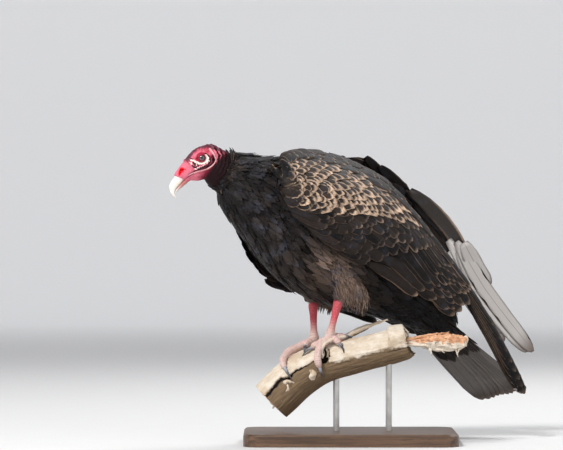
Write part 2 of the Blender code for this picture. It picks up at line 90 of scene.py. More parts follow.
def smoothRows(rows, at):  # a cubic through the rows, its slope at each half the step between its neighbours
    rows = np.asarray(rows, float)
    at = np.clip(np.asarray(at, float), 0, len(rows) - 1)
    slope = np.gradient(rows, axis=0)
    low = np.minimum(at.astype(int), len(rows) - 2)
    t = (at - low)[..., None]
    rise = rows[low] * (1 + 2 * t) * (1 - t) ** 2 + rows[low + 1] * (3 - 2 * t) * t**2
    return rise + slope[low] * t * (1 - t) ** 2 - slope[low + 1] * t**2 * (1 - t)


def ease(low, high, value):  # 0 below low, 1 above high, 3t2 - 2t3 between
    t = np.clip((value - low) / (high - low), 0, 1)
    return t * t * (3 - 2 * t)


def unit(vectors):  # the same directions at length 1
    return vectors / np.maximum(np.linalg.norm(vectors, axis=-1, keepdims=True), 1e-9)


def ripple(points, size, seed, waves=10):  # the mean of sine waves that run in random directions
    pick = np.random.default_rng(seed)
    runs = (unit(pick.normal(size=(waves, points.shape[-1]))) * 2 * np.pi
            / (size * pick.uniform(0.6, 1.6, (waves, 1))))
    return np.sin(points @ runs.T + pick.uniform(0, 6.3, waves)).sum(-1) / math.sqrt(waves)


def joined(*parts):  # arrays side by side, as the columns of points or faces
    return np.stack(parts, axis=-1)


def mound(x, z, at, wide, high):  # a smooth hill: 1 at its middle, e to the minus distance squared around it
    return np.exp(-(((x - at[0]) / wide) ** 2 + ((z - at[1]) / high) ** 2))


def walked(line):  # how far along a line each of its points lies
    return np.concatenate([[0], np.cumsum(np.linalg.norm(np.diff(line, axis=0), axis=1))])


def lineGap(spots, knots):  # the least distance from each spot to a bent line
    knots = np.asarray(knots, float)
    best = np.full(len(spots), 1e9)
    for a, b in zip(knots[:-1], knots[1:]):
        t = np.clip((spots - a) @ (b - a) / ((b - a) @ (b - a)), 0, 1)
        best = np.minimum(best, np.linalg.norm(spots - a - t[:, None] * (b - a), axis=1))
    return best


# Meshes

def gridFaces(rows, columns, around=False):  # quads between neighbouring rows and columns
    i, j = np.meshgrid(np.arange(rows - 1), np.arange(columns if around else columns - 1), indexing="ij")
    right = (j + 1) % columns
    quads = [i * columns + j, (i + 1) * columns + j, (i + 1) * columns + right, i * columns + right]
    return np.stack(quads, axis=-1).reshape(-1, 4)


def closedTube(rings):  # a grid of rings, closed at both ends by a fan to a point in the middle of the ring
    steps, sides = rings.shape[:2]
    middles = rings[[0, -1]].mean(axis=1)
    points = np.concatenate([rings.reshape(-1, 3), middles])
    turn = np.arange(sides)
    after = (turn + 1) % sides
    start = joined(np.full(sides, steps * sides), turn, after)
    last = (steps - 1) * sides
    end = joined(np.full(sides, steps * sides + 1), last + after, last + turn)
    return points, [gridFaces(steps, sides, around=True), np.concatenate([start, end])]


def turns(count):  # angles evenly round a circle
    return np.linspace(0, 2 * np.pi, count, endpoint=False)


def together(shapes):  # several shapes as one set of points and faces
    points, faces, start = [], [], 0
    for shape, parts in shapes:
        points.append(shape)
        faces += [part + start for part in parts]
        start += len(shape)
    return np.concatenate(points), faces


def giveValues(mesh, values):  # one number per point under each name
    for title, numbers in values.items():
        mesh.attributes.new(title, "FLOAT", "POINT").data.foreach_set("value", numbers.astype(np.float32))


def newMesh(name, points, faces, uvMaps=None, values=None):  # the maps hold a place for each corner
    mesh = bpy.data.meshes.new(name)
    corners = np.concatenate([part.ravel() for part in faces])
    sizes = np.concatenate([np.full(len(part), part.shape[1]) for part in faces])
    mesh.vertices.add(len(points))
    mesh.vertices.foreach_set("co", (points * mm).astype(np.float32).ravel())
    mesh.loops.add(len(corners))
    mesh.loops.foreach_set("vertex_index", corners.astype(np.int32))
    mesh.polygons.add(len(sizes))
    mesh.polygons.foreach_set("loop_start", (np.cumsum(sizes) - sizes).astype(np.int32))
    mesh.update(calc_edges=True)
    for title, spots in (uvMaps or {}).items():
        mesh.uv_layers.new(name=title).data.foreach_set("uv", spots.astype(np.float32).ravel())
    giveValues(mesh, values or {})
    mesh.shade_smooth()
    return mesh


def facingOut(mesh):  # turns a closed mesh the right way round
    points = meshPoints(mesh)
    mesh.calc_loop_triangles()
    corners = np.empty(len(mesh.loop_triangles) * 3, np.int32)
    mesh.loop_triangles.foreach_get("vertices", corners)
    if np.linalg.det(points[corners.reshape(-1, 3)]).sum() < 0:
        mesh.flip_normals()
    return mesh


def meshPoints(mesh):  # a mesh's points, in millimetres
    points = np.empty(len(mesh.vertices) * 3, np.float32)
    mesh.vertices.foreach_get("co", points)
    return points.reshape(-1, 3) / mm


def placed(name, data):  # a new object in the scene
    made = bpy.data.objects.new(name, data)
    bpy.context.scene.collection.objects.link(made)
    return made


def newPiece(name, mesh, finish, slot, *replaced):  # a finished piece, which may stand for some of the solids
    piece = placed(name, mesh)
    mesh.materials.clear()
    mesh.materials.append(finish)
    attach(piece, "root")
    if replaced:
        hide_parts(*replaced)


def settled(made):  # the object's mesh with its modifiers applied
    graph = bpy.context.evaluated_depsgraph_get()
    return bpy.data.meshes.new_from_object(made.evaluated_get(graph))


# Finishes

class Wire:  # one socket of a finish; sums on it add Math nodes
    def __init__(self, finish, socket):
        self.finish = finish
        self.socket = socket

    def maths(self, operation, first, second=0.0):  # one Math node
        return self.finish.node("ShaderNodeMath", {"operation": operation}, {0: first, 1: second})

    def __add__(self, other):
        return self.maths("ADD", self, other)

    def __sub__(self, other):
        return self.maths("SUBTRACT", self, other)

    def __rsub__(self, other):
        return self.maths("SUBTRACT", other, self)

    def __mul__(self, other):
        return self.maths("MULTIPLY", self, other)

    __radd__ = __add__
    __rmul__ = __mul__

    def wave(self):
        return self.maths("SINE", self)

    def size(self):
        return self.maths("ABSOLUTE", self)

    def above(self, limit):
        return self.maths("GREATER_THAN", self, limit)

    def larger(self, other):
        return self.maths("MAXIMUM", self, other)

    def ease(self, low, high):  # 0 at low and 1 at high, eased between
        return self.finish.node("ShaderNodeMapRange", {"interpolation_type": "SMOOTHSTEP"},
                                {"Value": self, "From Min": low, "From Max": high})


class Finish:  # one material: its fixed numbers, and the nodes that vary the rest
    def __init__(self, name, fixed):
        self.material = bpy.data.materials.new(name)
        self.material.use_nodes = True
        self.tree = self.material.node_tree
        self.shader = self.tree.nodes["Principled BSDF"]
        for title, value in fixed.items():
            self.connect(value, self.shader.inputs[title])

    def connect(self, value, socket):  # a link from another node, or a fixed value
        if isinstance(value, Wire):
            self.tree.links.new(value.socket, socket)
        else:
            socket.default_value = (*value, 1.0) if socket.type == "RGBA" and len(value) == 3 else value

    def node(self, kind, settings, values, output=0):  # a new node, given as one of its outputs
        made = self.tree.nodes.new(kind)
        for title, value in settings.items():
            setattr(made, title, value)
        for title, value in values.items():
            self.connect(value, made.inputs[title])
        return Wire(self, made.outputs[output])

    def value(self, title):  # a number kept on the piece's points
        return self.node("ShaderNodeAttribute", {"attribute_name": title}, {}, "Fac")

    def map(self, title):  # the two numbers of one of the piece's own UV maps
        place = self.node("ShaderNodeUVMap", {"uv_map": title}, {})
        return [self.node("ShaderNodeSeparateXYZ", {}, {0: place}, axis) for axis in (0, 1)]

    def place(self, scale=(1.0, 1.0, 1.0), turn=(0.0, 0.0, 0.0)):  # Object coordinates, in millimetres
        here = self.node("ShaderNodeTexCoord", {}, {}, "Object")
        sized = tuple(number / mm for number in scale)
        return self.node("ShaderNodeMapping", {}, {"Vector": here, "Rotation": turn, "Scale": sized})

    def noise(self, size, detail=4.0, rough=0.55, scale=(1.0, 1.0, 1.0), turn=(0.0, 0.0, 0.0)):  # size in mm
        return self.node("ShaderNodeTexNoise", {}, {"Vector": self.place(scale, turn), "Scale": 1.0 / size,
                                                    "Detail": detail, "Roughness": rough})

    def cells(self, size):  # distance to the nearest of scattered points
        return self.node("ShaderNodeTexVoronoi", {}, {"Vector": self.place(), "Scale": 1.0 / size})

    def blend(self, share, first, second):  # the first colour at 0, the second at 1
        return self.node("ShaderNodeMix", {"data_type": "RGBA", "blend_type": "MIX", "clamp_factor": True},
                         {0: share, 6: first, 7: second}, 2)

    def bump(self, height, deep, strength=1.0):  # relief in the shading only, deep in mm
        normal = self.node("ShaderNodeBump", {}, {"Height": height, "Distance": deep * mm, "Strength": strength})
        self.connect(normal, self.shader.inputs["Normal"])

    def done(self, colour, rough):  # the material, once colour and roughness are connected
        self.connect(colour, self.shader.inputs["Base Color"])
        self.connect(rough, self.shader.inputs["Roughness"])
        return self.material


vaneLook = {"black": (0.0060, 0.0055, 0.0058), "brown": (0.060, 0.041, 0.031), "fringe": (0.62, 0.44, 0.315),
            "sheenBlue": (0.034, 0.037, 0.050), "silver": (0.60, 0.56, 0.53), "silverTip": (0.20, 0.16, 0.14)}


def vaneFinish():  # feathers: barbs slant away from the shaft, the rim is worn pale, the underside may be silver
    f = Finish("featherVane", {"Specular IOR Level": 0.11})
    u, t = f.map("vane")
    under = u.above(1.5)
    side = ((u - under * 2.0) * 2.0 - 1.0).size()
    tint, fringe, brown, silver, soft = (f.value(title) for title in ("tint", "fringe", "brown", "silver", "soft"))
    barbs = (t * f.value("long") * 3.4 - side * f.value("wide") * 3.0).wave() * 0.5 + 0.5
    patch = f.noise(9.0, 3.0)
    fray = f.noise(1.6, 3.0, 0.7)
    worn = (side + fray * 0.22 + soft * 0.30 * t).ease(0.88, 1.27) * t.ease(0.15, 0.5)
    tip = (t + fray * 0.08 + soft * 0.10).ease(0.98, 1.10)
    rim = worn.larger(tip) * fringe * (patch * 0.8 + 0.6)
    shaft = (1.0 - side.ease(0.015, 0.05)) * (1.0 - t.ease(0.86, 0.95))
    dark = f.blend(brown + rim * 0.35, vaneLook["black"], vaneLook["brown"])
    # painted sheen: patches of the dark vane are mixed towards a blue-grey, standing in for glossy highlights
    dark = f.blend(patch.ease(0.52, 0.74) * 0.3 + f.noise(24.0, 3.0, 0.6).ease(0.5, 0.72) * 0.45, dark,
                   vaneLook["sheenBlue"])
    base = f.blend(rim, dark, vaneLook["fringe"])
    grey = f.blend(t.ease(0.80, 1.0), vaneLook["silver"], vaneLook["silverTip"])
    base = f.blend(under * silver, base, grey)
    base = f.blend(shaft * 0.6, base, (0.045, 0.03, 0.022))
    shade = tint * (barbs * 0.3 + 0.85)
    shaded = f.node("ShaderNodeVectorMath", {"operation": "SCALE"}, {0: base, "Scale": shade})
    f.bump(barbs * 0.3 + shaft * 0.7, 0.25, 0.5)
    return f.done(shaded, 0.46 + patch * 0.2 + rim * 0.15)


skinLook = {"crimson": (0.42, 0.022, 0.055), "pink": (0.66, 0.165, 0.225), "nostril": (0.82, 0.010, 0.022),
            "shadeWine": (0.11, 0.008, 0.018), "shadeMaroon": (0.010, 0.0015, 0.0025), "pale": (0.86, 0.80, 0.72),
            "soot": (0.022, 0.014, 0.020), "crown": (0.070, 0.030, 0.045), "legRed": (0.60, 0.092, 0.115),
            "legPink": (0.60, 0.27, 0.25), "white": (0.66, 0.52, 0.46), "toeDust": (0.36, 0.25, 0.22),
            "under": (0.012, 0.010, 0.010)}


def skinFinish():  # bare skin of head, neck and legs, and the near-black skin under the plumage, which is also painted shade in the gaps between feathers
    f = Finish("bareSkin", {"Subsurface Weight": 0.08, "Subsurface Scale": 0.002, "Specular IOR Level": 0.13})
    blushAndHighlight, pale, dark, deep, crown, leg, washAndGlow, down = (
        f.value(title) for title in ("blushAndHighlight", "pale", "dark", "deep", "crown", "leg", "washAndGlow", "down"))
    blotch = f.noise(4.5, 5.0, 0.62)
    grain = f.noise(0.9, 3.0, 0.6)
    pebble = f.cells(0.9)
    face = f.blend((blushAndHighlight + blotch * 1.3 + grain * 0.5 - 0.98).ease(0.05, 0.8), skinLook["crimson"],
                   skinLook["pink"])
    face = f.blend((crown + blotch * 0.8 + grain * 0.4 - 0.65).ease(0.0, 0.75) * 0.9, face, skinLook["crown"])
    face = f.blend(pale, face, skinLook["pale"])
    face = f.blend((dark + grain * 0.5 - 0.3).ease(0.2, 0.7), face, skinLook["soot"])
    shank = f.blend((washAndGlow + blotch * 0.7 - 0.35).ease(0.0, 0.55), skinLook["legRed"], skinLook["legPink"])
    shank = f.blend((washAndGlow + blotch * 0.9 - 0.80).ease(0.1, 0.8), shank, skinLook["white"])
    shank = f.blend(grain.ease(0.52, 0.72) * washAndGlow * 0.5, shank, skinLook["toeDust"])
    # painted light: the nostril pit is filled with a bright red, over its own red skin, standing in for light
    # shining through the opening
    face = f.blend(washAndGlow, face, skinLook["nostril"])
    base = f.blend(leg, face, shank)
    # painted shade: where the deep value rises the colour goes to a dark wine and then a near-black maroon, on skin
    # that is darker there too
    base = f.blend(deep.ease(0.0, 0.7) * (1.0 - leg * 0.45), base, skinLook["shadeWine"])
    base = f.blend(deep.ease(0.55, 1.0) * (1.0 - leg * 0.45), base, skinLook["shadeMaroon"])
    # painted shade: the skin under the plumage is near black, so that gaps between feathers read as shadow
    base = f.blend(down, base, skinLook["under"])
    f.bump(pebble * 0.7 + grain * 0.7 + blotch * 0.6, 0.42, 0.7)
    return f.done(base, 0.34 + grain * 0.22 + dark * 0.2 + leg * 0.15 + deep * 0.2)


def hornFinish():  # ivory bill: growth lines along it, stained towards the skin
    f = Finish("billHorn", {"Coat Weight": 0.25, "Coat Roughness": 0.25, "Subsurface Weight": 0.06,
                            "Subsurface Scale": 0.002})
    along, rim = f.value("along"), f.value("rim")
    streak = f.noise(2.2, 4.0, 0.6, (0.35, 1.0, 1.0), (0.0, 0.7, 0.5))
    cloud = f.noise(7.0, 3.0)
    base = f.blend(cloud.ease(0.35, 0.7), (0.83, 0.77, 0.67), (0.90, 0.88, 0.84))
    base = f.blend(streak.ease(0.5, 0.75) * 0.35, base, (0.62, 0.52, 0.40))
    base = f.blend((1.0 - along.ease(0.0, 0.14)) * 0.5, base, (0.75, 0.42, 0.36))
    base = f.blend((1.0 - along.ease(0.2, 1.0)) * f.value("flush"), base, (0.46, 0.085, 0.085))
    base = f.blend(rim * 0.5, base, (0.50, 0.33, 0.24))
    f.bump(streak * 0.7 + cloud * 0.3, 0.25, 0.4)
    return f.done(base, 0.28 + streak * 0.22)


def clawFinish():  # blue-grey claws, darker and smoother to the tip
    f = Finish("clawHorn", {"Coat Weight": 0.2, "Coat Roughness": 0.3})
    along = f.value("along")
    streak = f.noise(1.6, 3.0, 0.6, (1.0, 1.0, 0.4))
    base = f.blend(along.ease(0.05, 0.6), (0.36, 0.37, 0.42), (0.055, 0.053, 0.062))
    base = f.blend(streak.ease(0.5, 0.8) * 0.5, base, (0.50, 0.50, 0.52))
    f.bump(streak, 0.2, 0.5)
    return f.done(base, 0.3 + streak * 0.25)


def eyeFinish():  # pupil, iris with fine rays and a dark rim
    f = Finish("eyeGlobe", {"Coat Weight": 1.0, "Coat Roughness": 0.02, "Specular IOR Level": 0.6})
    out, turn = f.map("iris")
    rays = (turn * 6.2832 * 34.0 + f.noise(1.2) * 5.0).wave() * 0.5 + 0.5
    base = f.blend(out.ease(0.24, 0.58), (0.075, 0.060, 0.066), (0.20, 0.17, 0.18))
    base = f.blend(rays * 0.4, base, (0.045, 0.034, 0.03))
    base = f.blend(out.ease(0.44, 0.52), base, (0.012, 0.008, 0.009))
    base = f.blend(1.0 - out.ease(0.31, 0.34), base, (0.002, 0.002, 0.002))
    return f.done(base, 0.12)


barkLook = {"cream": (0.60, 0.475, 0.345), "pale": (0.78, 0.70, 0.59), "tan": (0.40, 0.27, 0.165),
            "grey": (0.155, 0.108, 0.066), "under": (0.27, 0.175, 0.095), "crack": (0.020, 0.013, 0.009)}


def barkFinish():  # weathered bark: pale above, grey-brown below, partly painted light and shade, fibres along the branch
    f = Finish("weatheredBark", {"Specular IOR Level": 0.25})
    lit, groove = f.value("lit"), f.value("groove")
    along, around = f.map("bark")
    run = f.node("ShaderNodeCombineXYZ", {}, {0: along * 0.08, 1: around, 2: 0.0})
    fibre = f.node("ShaderNodeTexNoise", {}, {"Vector": run, "Scale": 0.9, "Detail": 6.0, "Roughness": 0.7})
    blotch = f.noise(26.0, 4.0, 0.6)
    speck = f.noise(2.2, 5.0, 0.7)
    top = f.blend(blotch.ease(0.35, 0.68), barkLook["cream"], barkLook["pale"])
    top = f.blend(fibre.ease(0.52, 0.70) * 0.65, top, barkLook["tan"])
    low = f.blend(fibre.ease(0.40, 0.66), barkLook["grey"], barkLook["under"])
    low = f.blend(speck.ease(0.58, 0.78) * 0.3, low, barkLook["cream"])
    # lit: the pale bark above against the darker wood below, partly their own colours and partly painted light on
    # top and painted shade beneath
    base = f.blend((lit + blotch * 0.5 - 0.25).ease(0.15, 0.75), low, top)
    # groove: painted shadow in the crevice, the hole, the crack and the splits
    base = f.blend((groove + (speck - 0.5) * 0.3).ease(0.25, 0.7), base, barkLook["crack"])
    f.bump(fibre * 1.0 + speck * 0.35, 1.6, 0.6)
    return f.done(base, 0.78 + speck * 0.15)


def tornWoodFinish():  # broken wood: rusty above, bleached and pitted along its torn edges
    f = Finish("tornWood", {"Specular IOR Level": 0.2})
    lit = f.value("lit")
    fibre = f.noise(2.4, 6.0, 0.7, (0.12, 1.0, 1.0))
    rot = f.noise(5.5, 4.0, 0.65)
    base = f.blend(fibre.ease(0.33, 0.62), (0.42, 0.16, 0.07), (0.84, 0.50, 0.30))
    base = f.blend((1.0 - lit + rot * 0.8 - 0.4).ease(0.2, 0.7), base, (0.76, 0.66, 0.54))
    base = f.blend(rot.ease(0.60, 0.70) * 0.85, base, (0.035, 0.02, 0.012))
    f.bump(fibre + rot * 0.6, 1.4, 0.8)
    return f.done(base, 0.8 + fibre * 0.15)


def boardFinish():  # the base: dark oiled wood, grain along X
    f = Finish("oiledBoard", {"Coat Weight": 0.15, "Coat Roughness": 0.3})
    grain = f.noise(7.0, 7.0, 0.65, (0.05, 1.0, 1.0))
    pore = f.noise(1.3, 3.0, 0.7, (0.06, 1.0, 1.0))
    base = f.blend(grain.ease(0.35, 0.66), (0.060, 0.030, 0.016), (0.155, 0.083, 0.044))
    base = f.blend(pore.ease(0.56, 0.70) * 0.7, base, (0.022, 0.011, 0.007))
    f.bump(grain * 0.5 + pore, 0.3, 0.35)
    return f.done(base, 0.34 + pore * 0.25)


def steelFinish():  # the rods: drawn steel, faint rings
    f = Finish("drawnSteel", {"Metallic": 1.0})
    ring = f.noise(1.0, 3.0, 0.6, (0.15, 0.15, 1.0))
    smear = f.noise(14.0, 4.0)
    base = f.blend(smear.ease(0.35, 0.7), (0.50, 0.49, 0.47), (0.63, 0.62, 0.60))
    f.bump(ring, 0.05, 0.3)
    return f.done(base, 0.26 + smear * 0.14 + ring * 0.06)


def floorFinish():  # pale and plain, with a faint glow on the wall far out
    f = Finish("paleFloor", {"Specular IOR Level": 0.2, "Emission Strength": 1.0})
    cloud = f.noise(60.0, 3.0)
    out = f.node("ShaderNodeVectorMath", {"operation": "LENGTH"}, {0: f.place()}, "Value")
    glow = f.blend(out.ease(3200.0, 8200.0), (0.0, 0.0, 0.0), (0.27, 0.272, 0.28))
    f.connect(glow, f.shader.inputs["Emission Color"])
    return f.done(f.blend(cloud, (0.74, 0.735, 0.725), (0.77, 0.765, 0.755)), 0.75 + cloud * 0.1)


vanes, bareSkin, horn, clawHorn, eyeGlass = vaneFinish(), skinFinish(), hornFinish(), clawFinish(), eyeFinish()
weatheredBark, tornWood, board, steel = barkFinish(), tornWoodFinish(), boardFinish(), steelFinish()
print("finishes made")


# Shapes shared with the solids

trunkShape = {"depth": 6.0, "stations": [
    (177, 284, 31, 31, 24), (160, 277, 39, 45, 38), (130, 258, 57, 60, 56), (80, 225, 96, 74, 72),
    (20, 185, 124, 92, 80), (-50, 150, 117, 90, 78), (-120, 112, 96, 68, 66), (-180, 76, 62, 48, 50),
    (-226, 40, 32, 30, 36), (-247, 20, 13, 13, 20)]}
headShape = {"lean": 24.0, "stations": [
    (-33, -13, 2, 2, 2), (-30, -12, 11, 13.5, 12), (-22, -10, 18.5, 22, 17.8), (-12, -9, 23, 25, 19.6),
    (0, -8, 25.6, 25.5, 19.6), (12, -7, 24.2, 23, 17.8), (22, -6, 21.6, 19.5, 14), (32, -4, 17.2, 13.4, 10.2),
    (41, -3, 13, 12.6, 8.2), (45.5, -3.2, 10.8, 12.2, 7)]}
neckShape = {"inSkull": [(-6, 0, -10), (-17, 0, -22)], "inBird": [(178, -2, 281), (150, 0, 268)],
             "radii": [14, 21, 25, 25], "flat": 1.22}
ruffLine = {"at": (180, -2, 283), "way": (0.9, 0.0, 0.43)}  # where bare skin begins, in the bird's frame
thighShape = {"depth": 5.0, "forward": {"left": 0, "right": 8}, "stations": [
    (10, 46, 158, 56, 30), (-8, 44, 122, 47, 27), (-24, 41, 94, 36, 22), (-29, 39, 76, 25, 17), (-33, 38, 60, 9, 8)]}
wingShape = {
    "left": [((124, 80, 258), (118, 77, 282), 80), ((104, 91, 216), (88, 44, 312), 94),
             ((16, 92, 156), (0, 20, 313), 104), ((-100, 76, 102), (-105, 16, 276), 88),
             ((-213, 62, 48), (-192, 30, 185), 67), ((-300, 64, -24), (-282, 50, 66), 66),
             ((-350, 66, -84), (-356, 65, -58), 67)],
    "right": [((120, -72, 234), (116, -74, 262), -76), ((106, -84, 176), (80, -50, 292), -93),
              ((34, -92, 90), (0, -28, 302), -108), ((-88, -80, 46), (-120, -30, 302), -98),
              ((-235, -66, 12), (-262, -46, 220), -78), ((-350, -60, -12), (-354, -54, 98), -62),
              ((-434, -58, -20), (-441, -58, 2), -58)]}
wingSign = {"left": 1.0, "right": -1.0}
tailShape = {"tip": (-363.0, 0.0, -81.0), "slope": 39.8, "roll": 18.0, "length": 200.0,
             "rootHalf": 30.0, "tipHalf": 56.0, "arch": 9.0}


def ringPoints(stations, along, turn, grow=0.0, lean=0.0):
    # from the centre line, up or down by the radius above or below it, and out by the half width
    along, turn = np.broadcast_arrays(np.asarray(along, float), np.asarray(turn, float))
    x, z, above, below, half = np.moveaxis(smoothRows(stations, along), -1, 0)
    ahead = smoothRows(stations, along + 0.02) - smoothRows(stations, along - 0.02)
    last = len(stations) - 1
    tilt = np.arctan2(ahead[..., 1], ahead[..., 0]) - math.radians(lean) * ease(last - 1, last, along)
    way = np.sign(stations[-1][0] - stations[0][0])
    rise = (np.where(np.sin(turn) >= 0, above, below) + grow) * np.sin(turn) * way
    return joined(x - np.sin(tilt) * rise, -way * (half + grow) * np.cos(turn), z + np.cos(tilt) * rise)


def thighPoints(side, along, turn, grow=0.0):  # level rings, tipped up towards the front
    along, turn = np.broadcast_arrays(np.asarray(along, float), np.asarray(turn, float))
    x, y, z, fore, half = np.moveaxis(smoothRows(thighShape["stations"], along), -1, 0)
    fore, half = fore + grow, half + grow
    return joined(x + thighShape["forward"][side] + fore * np.cos(turn),
                  wingSign[side] * y - half * np.sin(turn), z + 0.25 * fore * np.cos(turn))


def bladePoints(side, along, across):  # a parabola from the lower edge through the middle to the upper edge
    along, across = np.broadcast_arrays(np.asarray(along, float), np.asarray(across, float))
    low = smoothRows([station[0] for station in wingShape[side]], along)
    high = smoothRows([station[1] for station in wingShape[side]], along)
    middle = (low + high) / 2
    middle[..., 1] = smoothRows([[station[2]] for station in wingShape[side]], along)[..., 0]
    v = across[..., None]
    return low * (2 * v - 1) * (v - 1) + middle * 4 * v * (1 - v) + high * v * (2 * v - 1)


def tailPoints(along, across):  # a fan that spreads towards its end and droops at its sides
    along, across = np.broadcast_arrays(np.asarray(along, float), np.asarray(across, float))
    half = tailShape["rootHalf"] + (tailShape["tipHalf"] - tailShape["rootHalf"]) * along
    local = joined(tailShape["length"] * (1 - along), half * across, -tailShape["arch"] * across**2)
    turn = turned("Y", -tailShape["slope"]) @ turned("X", tailShape["roll"])
    return local @ turn.T + tailShape["tip"]


def frameOf(surface, along, across):  # the point, its two slopes and the unit normal
    step = 0.01
    here = surface(along, across)
    down = (surface(along + step, across) - surface(along - step, across)) / (2 * step)
    over = (surface(along, across + step) - surface(along, across - step)) / (2 * step)
    return here, down, over, unit(np.cross(down, over))


def bladeNormal(side, along, across):  # unit normals on the side away from the body
    normal = frameOf(lambda u, v: bladePoints(side, u, v), along, across)[3]
    return normal * np.sign(normal[..., 1:2]) * wingSign[side]


def armDepth(along):  # how thick the folded arm and its feathers are
    return np.interp(along, [0, 0.4, 2, 3.2, 4], [7, 14, 14, 10, 7])


def nearLine(points, line):  # the number of the nearest of the line's points, and the distance squared
    apart = (points**2).sum(1)[:, None] + (line**2).sum(1) - 2 * points @ line.T
    near = apart.argmin(axis=1)
    return near, apart[np.arange(len(points)), near]


def overBlade(points, side, rows, columns):
    # From the nearest place on a wing's outer face: its normal, the height over it and the distance beside it.
    grids = np.meshgrid(np.linspace(0, 6, rows), np.linspace(0, 1, columns), indexing="ij")
    along, across = (grid.ravel() for grid in grids)
    blade, normal = bladePoints(side, along, across), bladeNormal(side, along, across)
    near = nearLine(points, blade)[0]
    away, normal = points - blade[near], normal[near]
    out = (away * normal).sum(1)
    return normal, out, np.linalg.norm(away - out[:, None] * normal, axis=1)


def tucked(points, clear=17.0):  # moves points of the body in under the wings, in the bird's frame
    moved = points.reshape(-1, 3).copy()
    for side in wingShape:
        normal, out, beside = overBlade(moved, side, 61, 21)
        moved -= np.where(beside < 9, np.maximum(out + clear, 0), 0)[:, None] * normal
    return moved.reshape(points.shape)


def pathRings(path, radii, sides, flat=1.0):  # round rings along a path, in a frame that doesn't twist
    path, radii = np.asarray(path, float), np.asarray(radii, float)
    ahead = unit(np.gradient(path, axis=0))
    side = np.cross(ahead, (0.0, 0.0, 1.0))
    side[np.linalg.norm(side, axis=1) < 0.2] = (0, 1, 0)
    for i in range(1, len(side)):
        side[i] = side[i - 1] - ahead[i] * (side[i - 1] @ ahead[i])
    side = unit(side)
    up = np.cross(side, ahead)
    turn = turns(sides)[None, :, None]
    return path[:, None] + radii[:, None, None] * (flat * np.sin(turn) * up[:, None] - np.cos(turn) * side[:, None])


# The branch's centre line, which the feet are set out on

branchShape = {"line": [
    (-126, 66, 35), (-110, 82, 36), (-84, 105, 35.5), (-54, 122, 32.5), (-22, 132, 29.5), (14, 140, 27.5),
    (50, 149.5, 27.5), (80, 156.5, 26.5), (92, 159, 24), (95, 160, 14), (116, 160.5, 12), (150, 161, 11),
    (176, 160, 9), (188, 159, 3)]}


def branchAt(x):  # height, radius and upward normal of the centre line at these places along X
    at = np.linspace(0, len(branchShape["line"]) - 1, 600)
    lineX, lineZ, radius = smoothRows(branchShape["line"], at).T
    ahead = unit(joined(np.gradient(lineX), np.gradient(lineZ)))
    return [np.interp(x, lineX, numbers) for numbers in (lineZ, radius, -ahead[:, 1], ahead[:, 0])]


def onBranch(x, degrees, lift):  # x along the branch, degrees round from its top towards -Y, lifted off it
    z, radius, upX, upZ = branchAt(x)
    angle = np.radians(degrees)
    out = (radius + lift) * np.cos(angle)
    return joined(x + out * upX, -(radius + lift) * np.sin(angle), z + out * upZ)


footShape = {
    "heel": 7.5, "shank": 5.2, "ball": 8.0, "gap": 0.4, "heels": {"left": (-12, 36, 72), "right": (-8, -35, 66)},
    "left": {"x": -22, "round": 18, "toes": [
        (205, 200, 20, 6, 4.8), (10, 24, 29, 6, 4.6), (28, 88, 55, 6.6, 4.9), (140, 112, 17, 6, 4.6)]},
    "right": {"x": -44, "round": -22, "toes": [
        (250, 240, 20, 6, 4.8), (48, 70, 22, 6, 4.6), (6, 84, 68, 6.6, 4.9), (-18, -6, 36, 6, 4.6)]}}


def overBark(foot, toe, gone, lift):  # points these distances out from the ball of the foot, over the bark
    fine = np.linspace(0, max(gone), 200)
    heading = np.radians(toe[0] + (toe[1] - toe[0]) * np.clip(fine / toe[2], 0, 1))
    step = np.diff(fine, prepend=0)
    x = foot["x"] - np.cumsum(np.cos(heading) * step)
    degrees = foot["round"] + np.degrees(np.cumsum(np.sin(heading) * step) / 35.0)
    return onBranch(np.interp(gone, fine, x), np.interp(gone, fine, degrees), lift)


def toeLine(foot, toe, steps):  # the toe's centre line, its radius with swollen joints, and its lift
    share = np.linspace(0, 1, steps)
    radii = toe[3] + (toe[4] - toe[3]) * share + 0.5 * np.sin(share * 3 * np.pi) ** 2
    radii *= 1 - 0.22 * ease(0.88, 1.0, share)
    lift = radii + footShape["gap"] + 0.9 + 5.0 * np.exp(-share * toe[2] / 9)
    return overBark(foot, toe, share * toe[2], lift), radii, lift


def legLines(side):  # the shank and four toes of one foot: each a line and its radii
    foot = footShape[side]
    heel = fromBird(footShape["heels"][side])
    ankle, knuckle = (onBranch(foot["x"], foot["round"], lift) for lift in (14.0, 9.5))
    lean = heel - ankle
    ball, shank, top = footShape["ball"], footShape["shank"], footShape["heel"]
    knots = [(*knuckle, ball * 0.7), (*(ankle + 0.05 * lean), ball), (*(ankle + 0.3 * lean), shank),
             (*(ankle + 0.7 * lean), shank * 1.1), (*heel, top), (*(heel + 0.1 * lean), top * 0.8)]
    rows = smoothRows(knots, np.linspace(0, 5, 60))
    return [(rows[:, :3], rows[:, 3])] + [toeLine(foot, toe, 40)[:2] for toe in foot["toes"]]


# The skin: head, neck, trunk, thighs, arms and legs as one closed surface

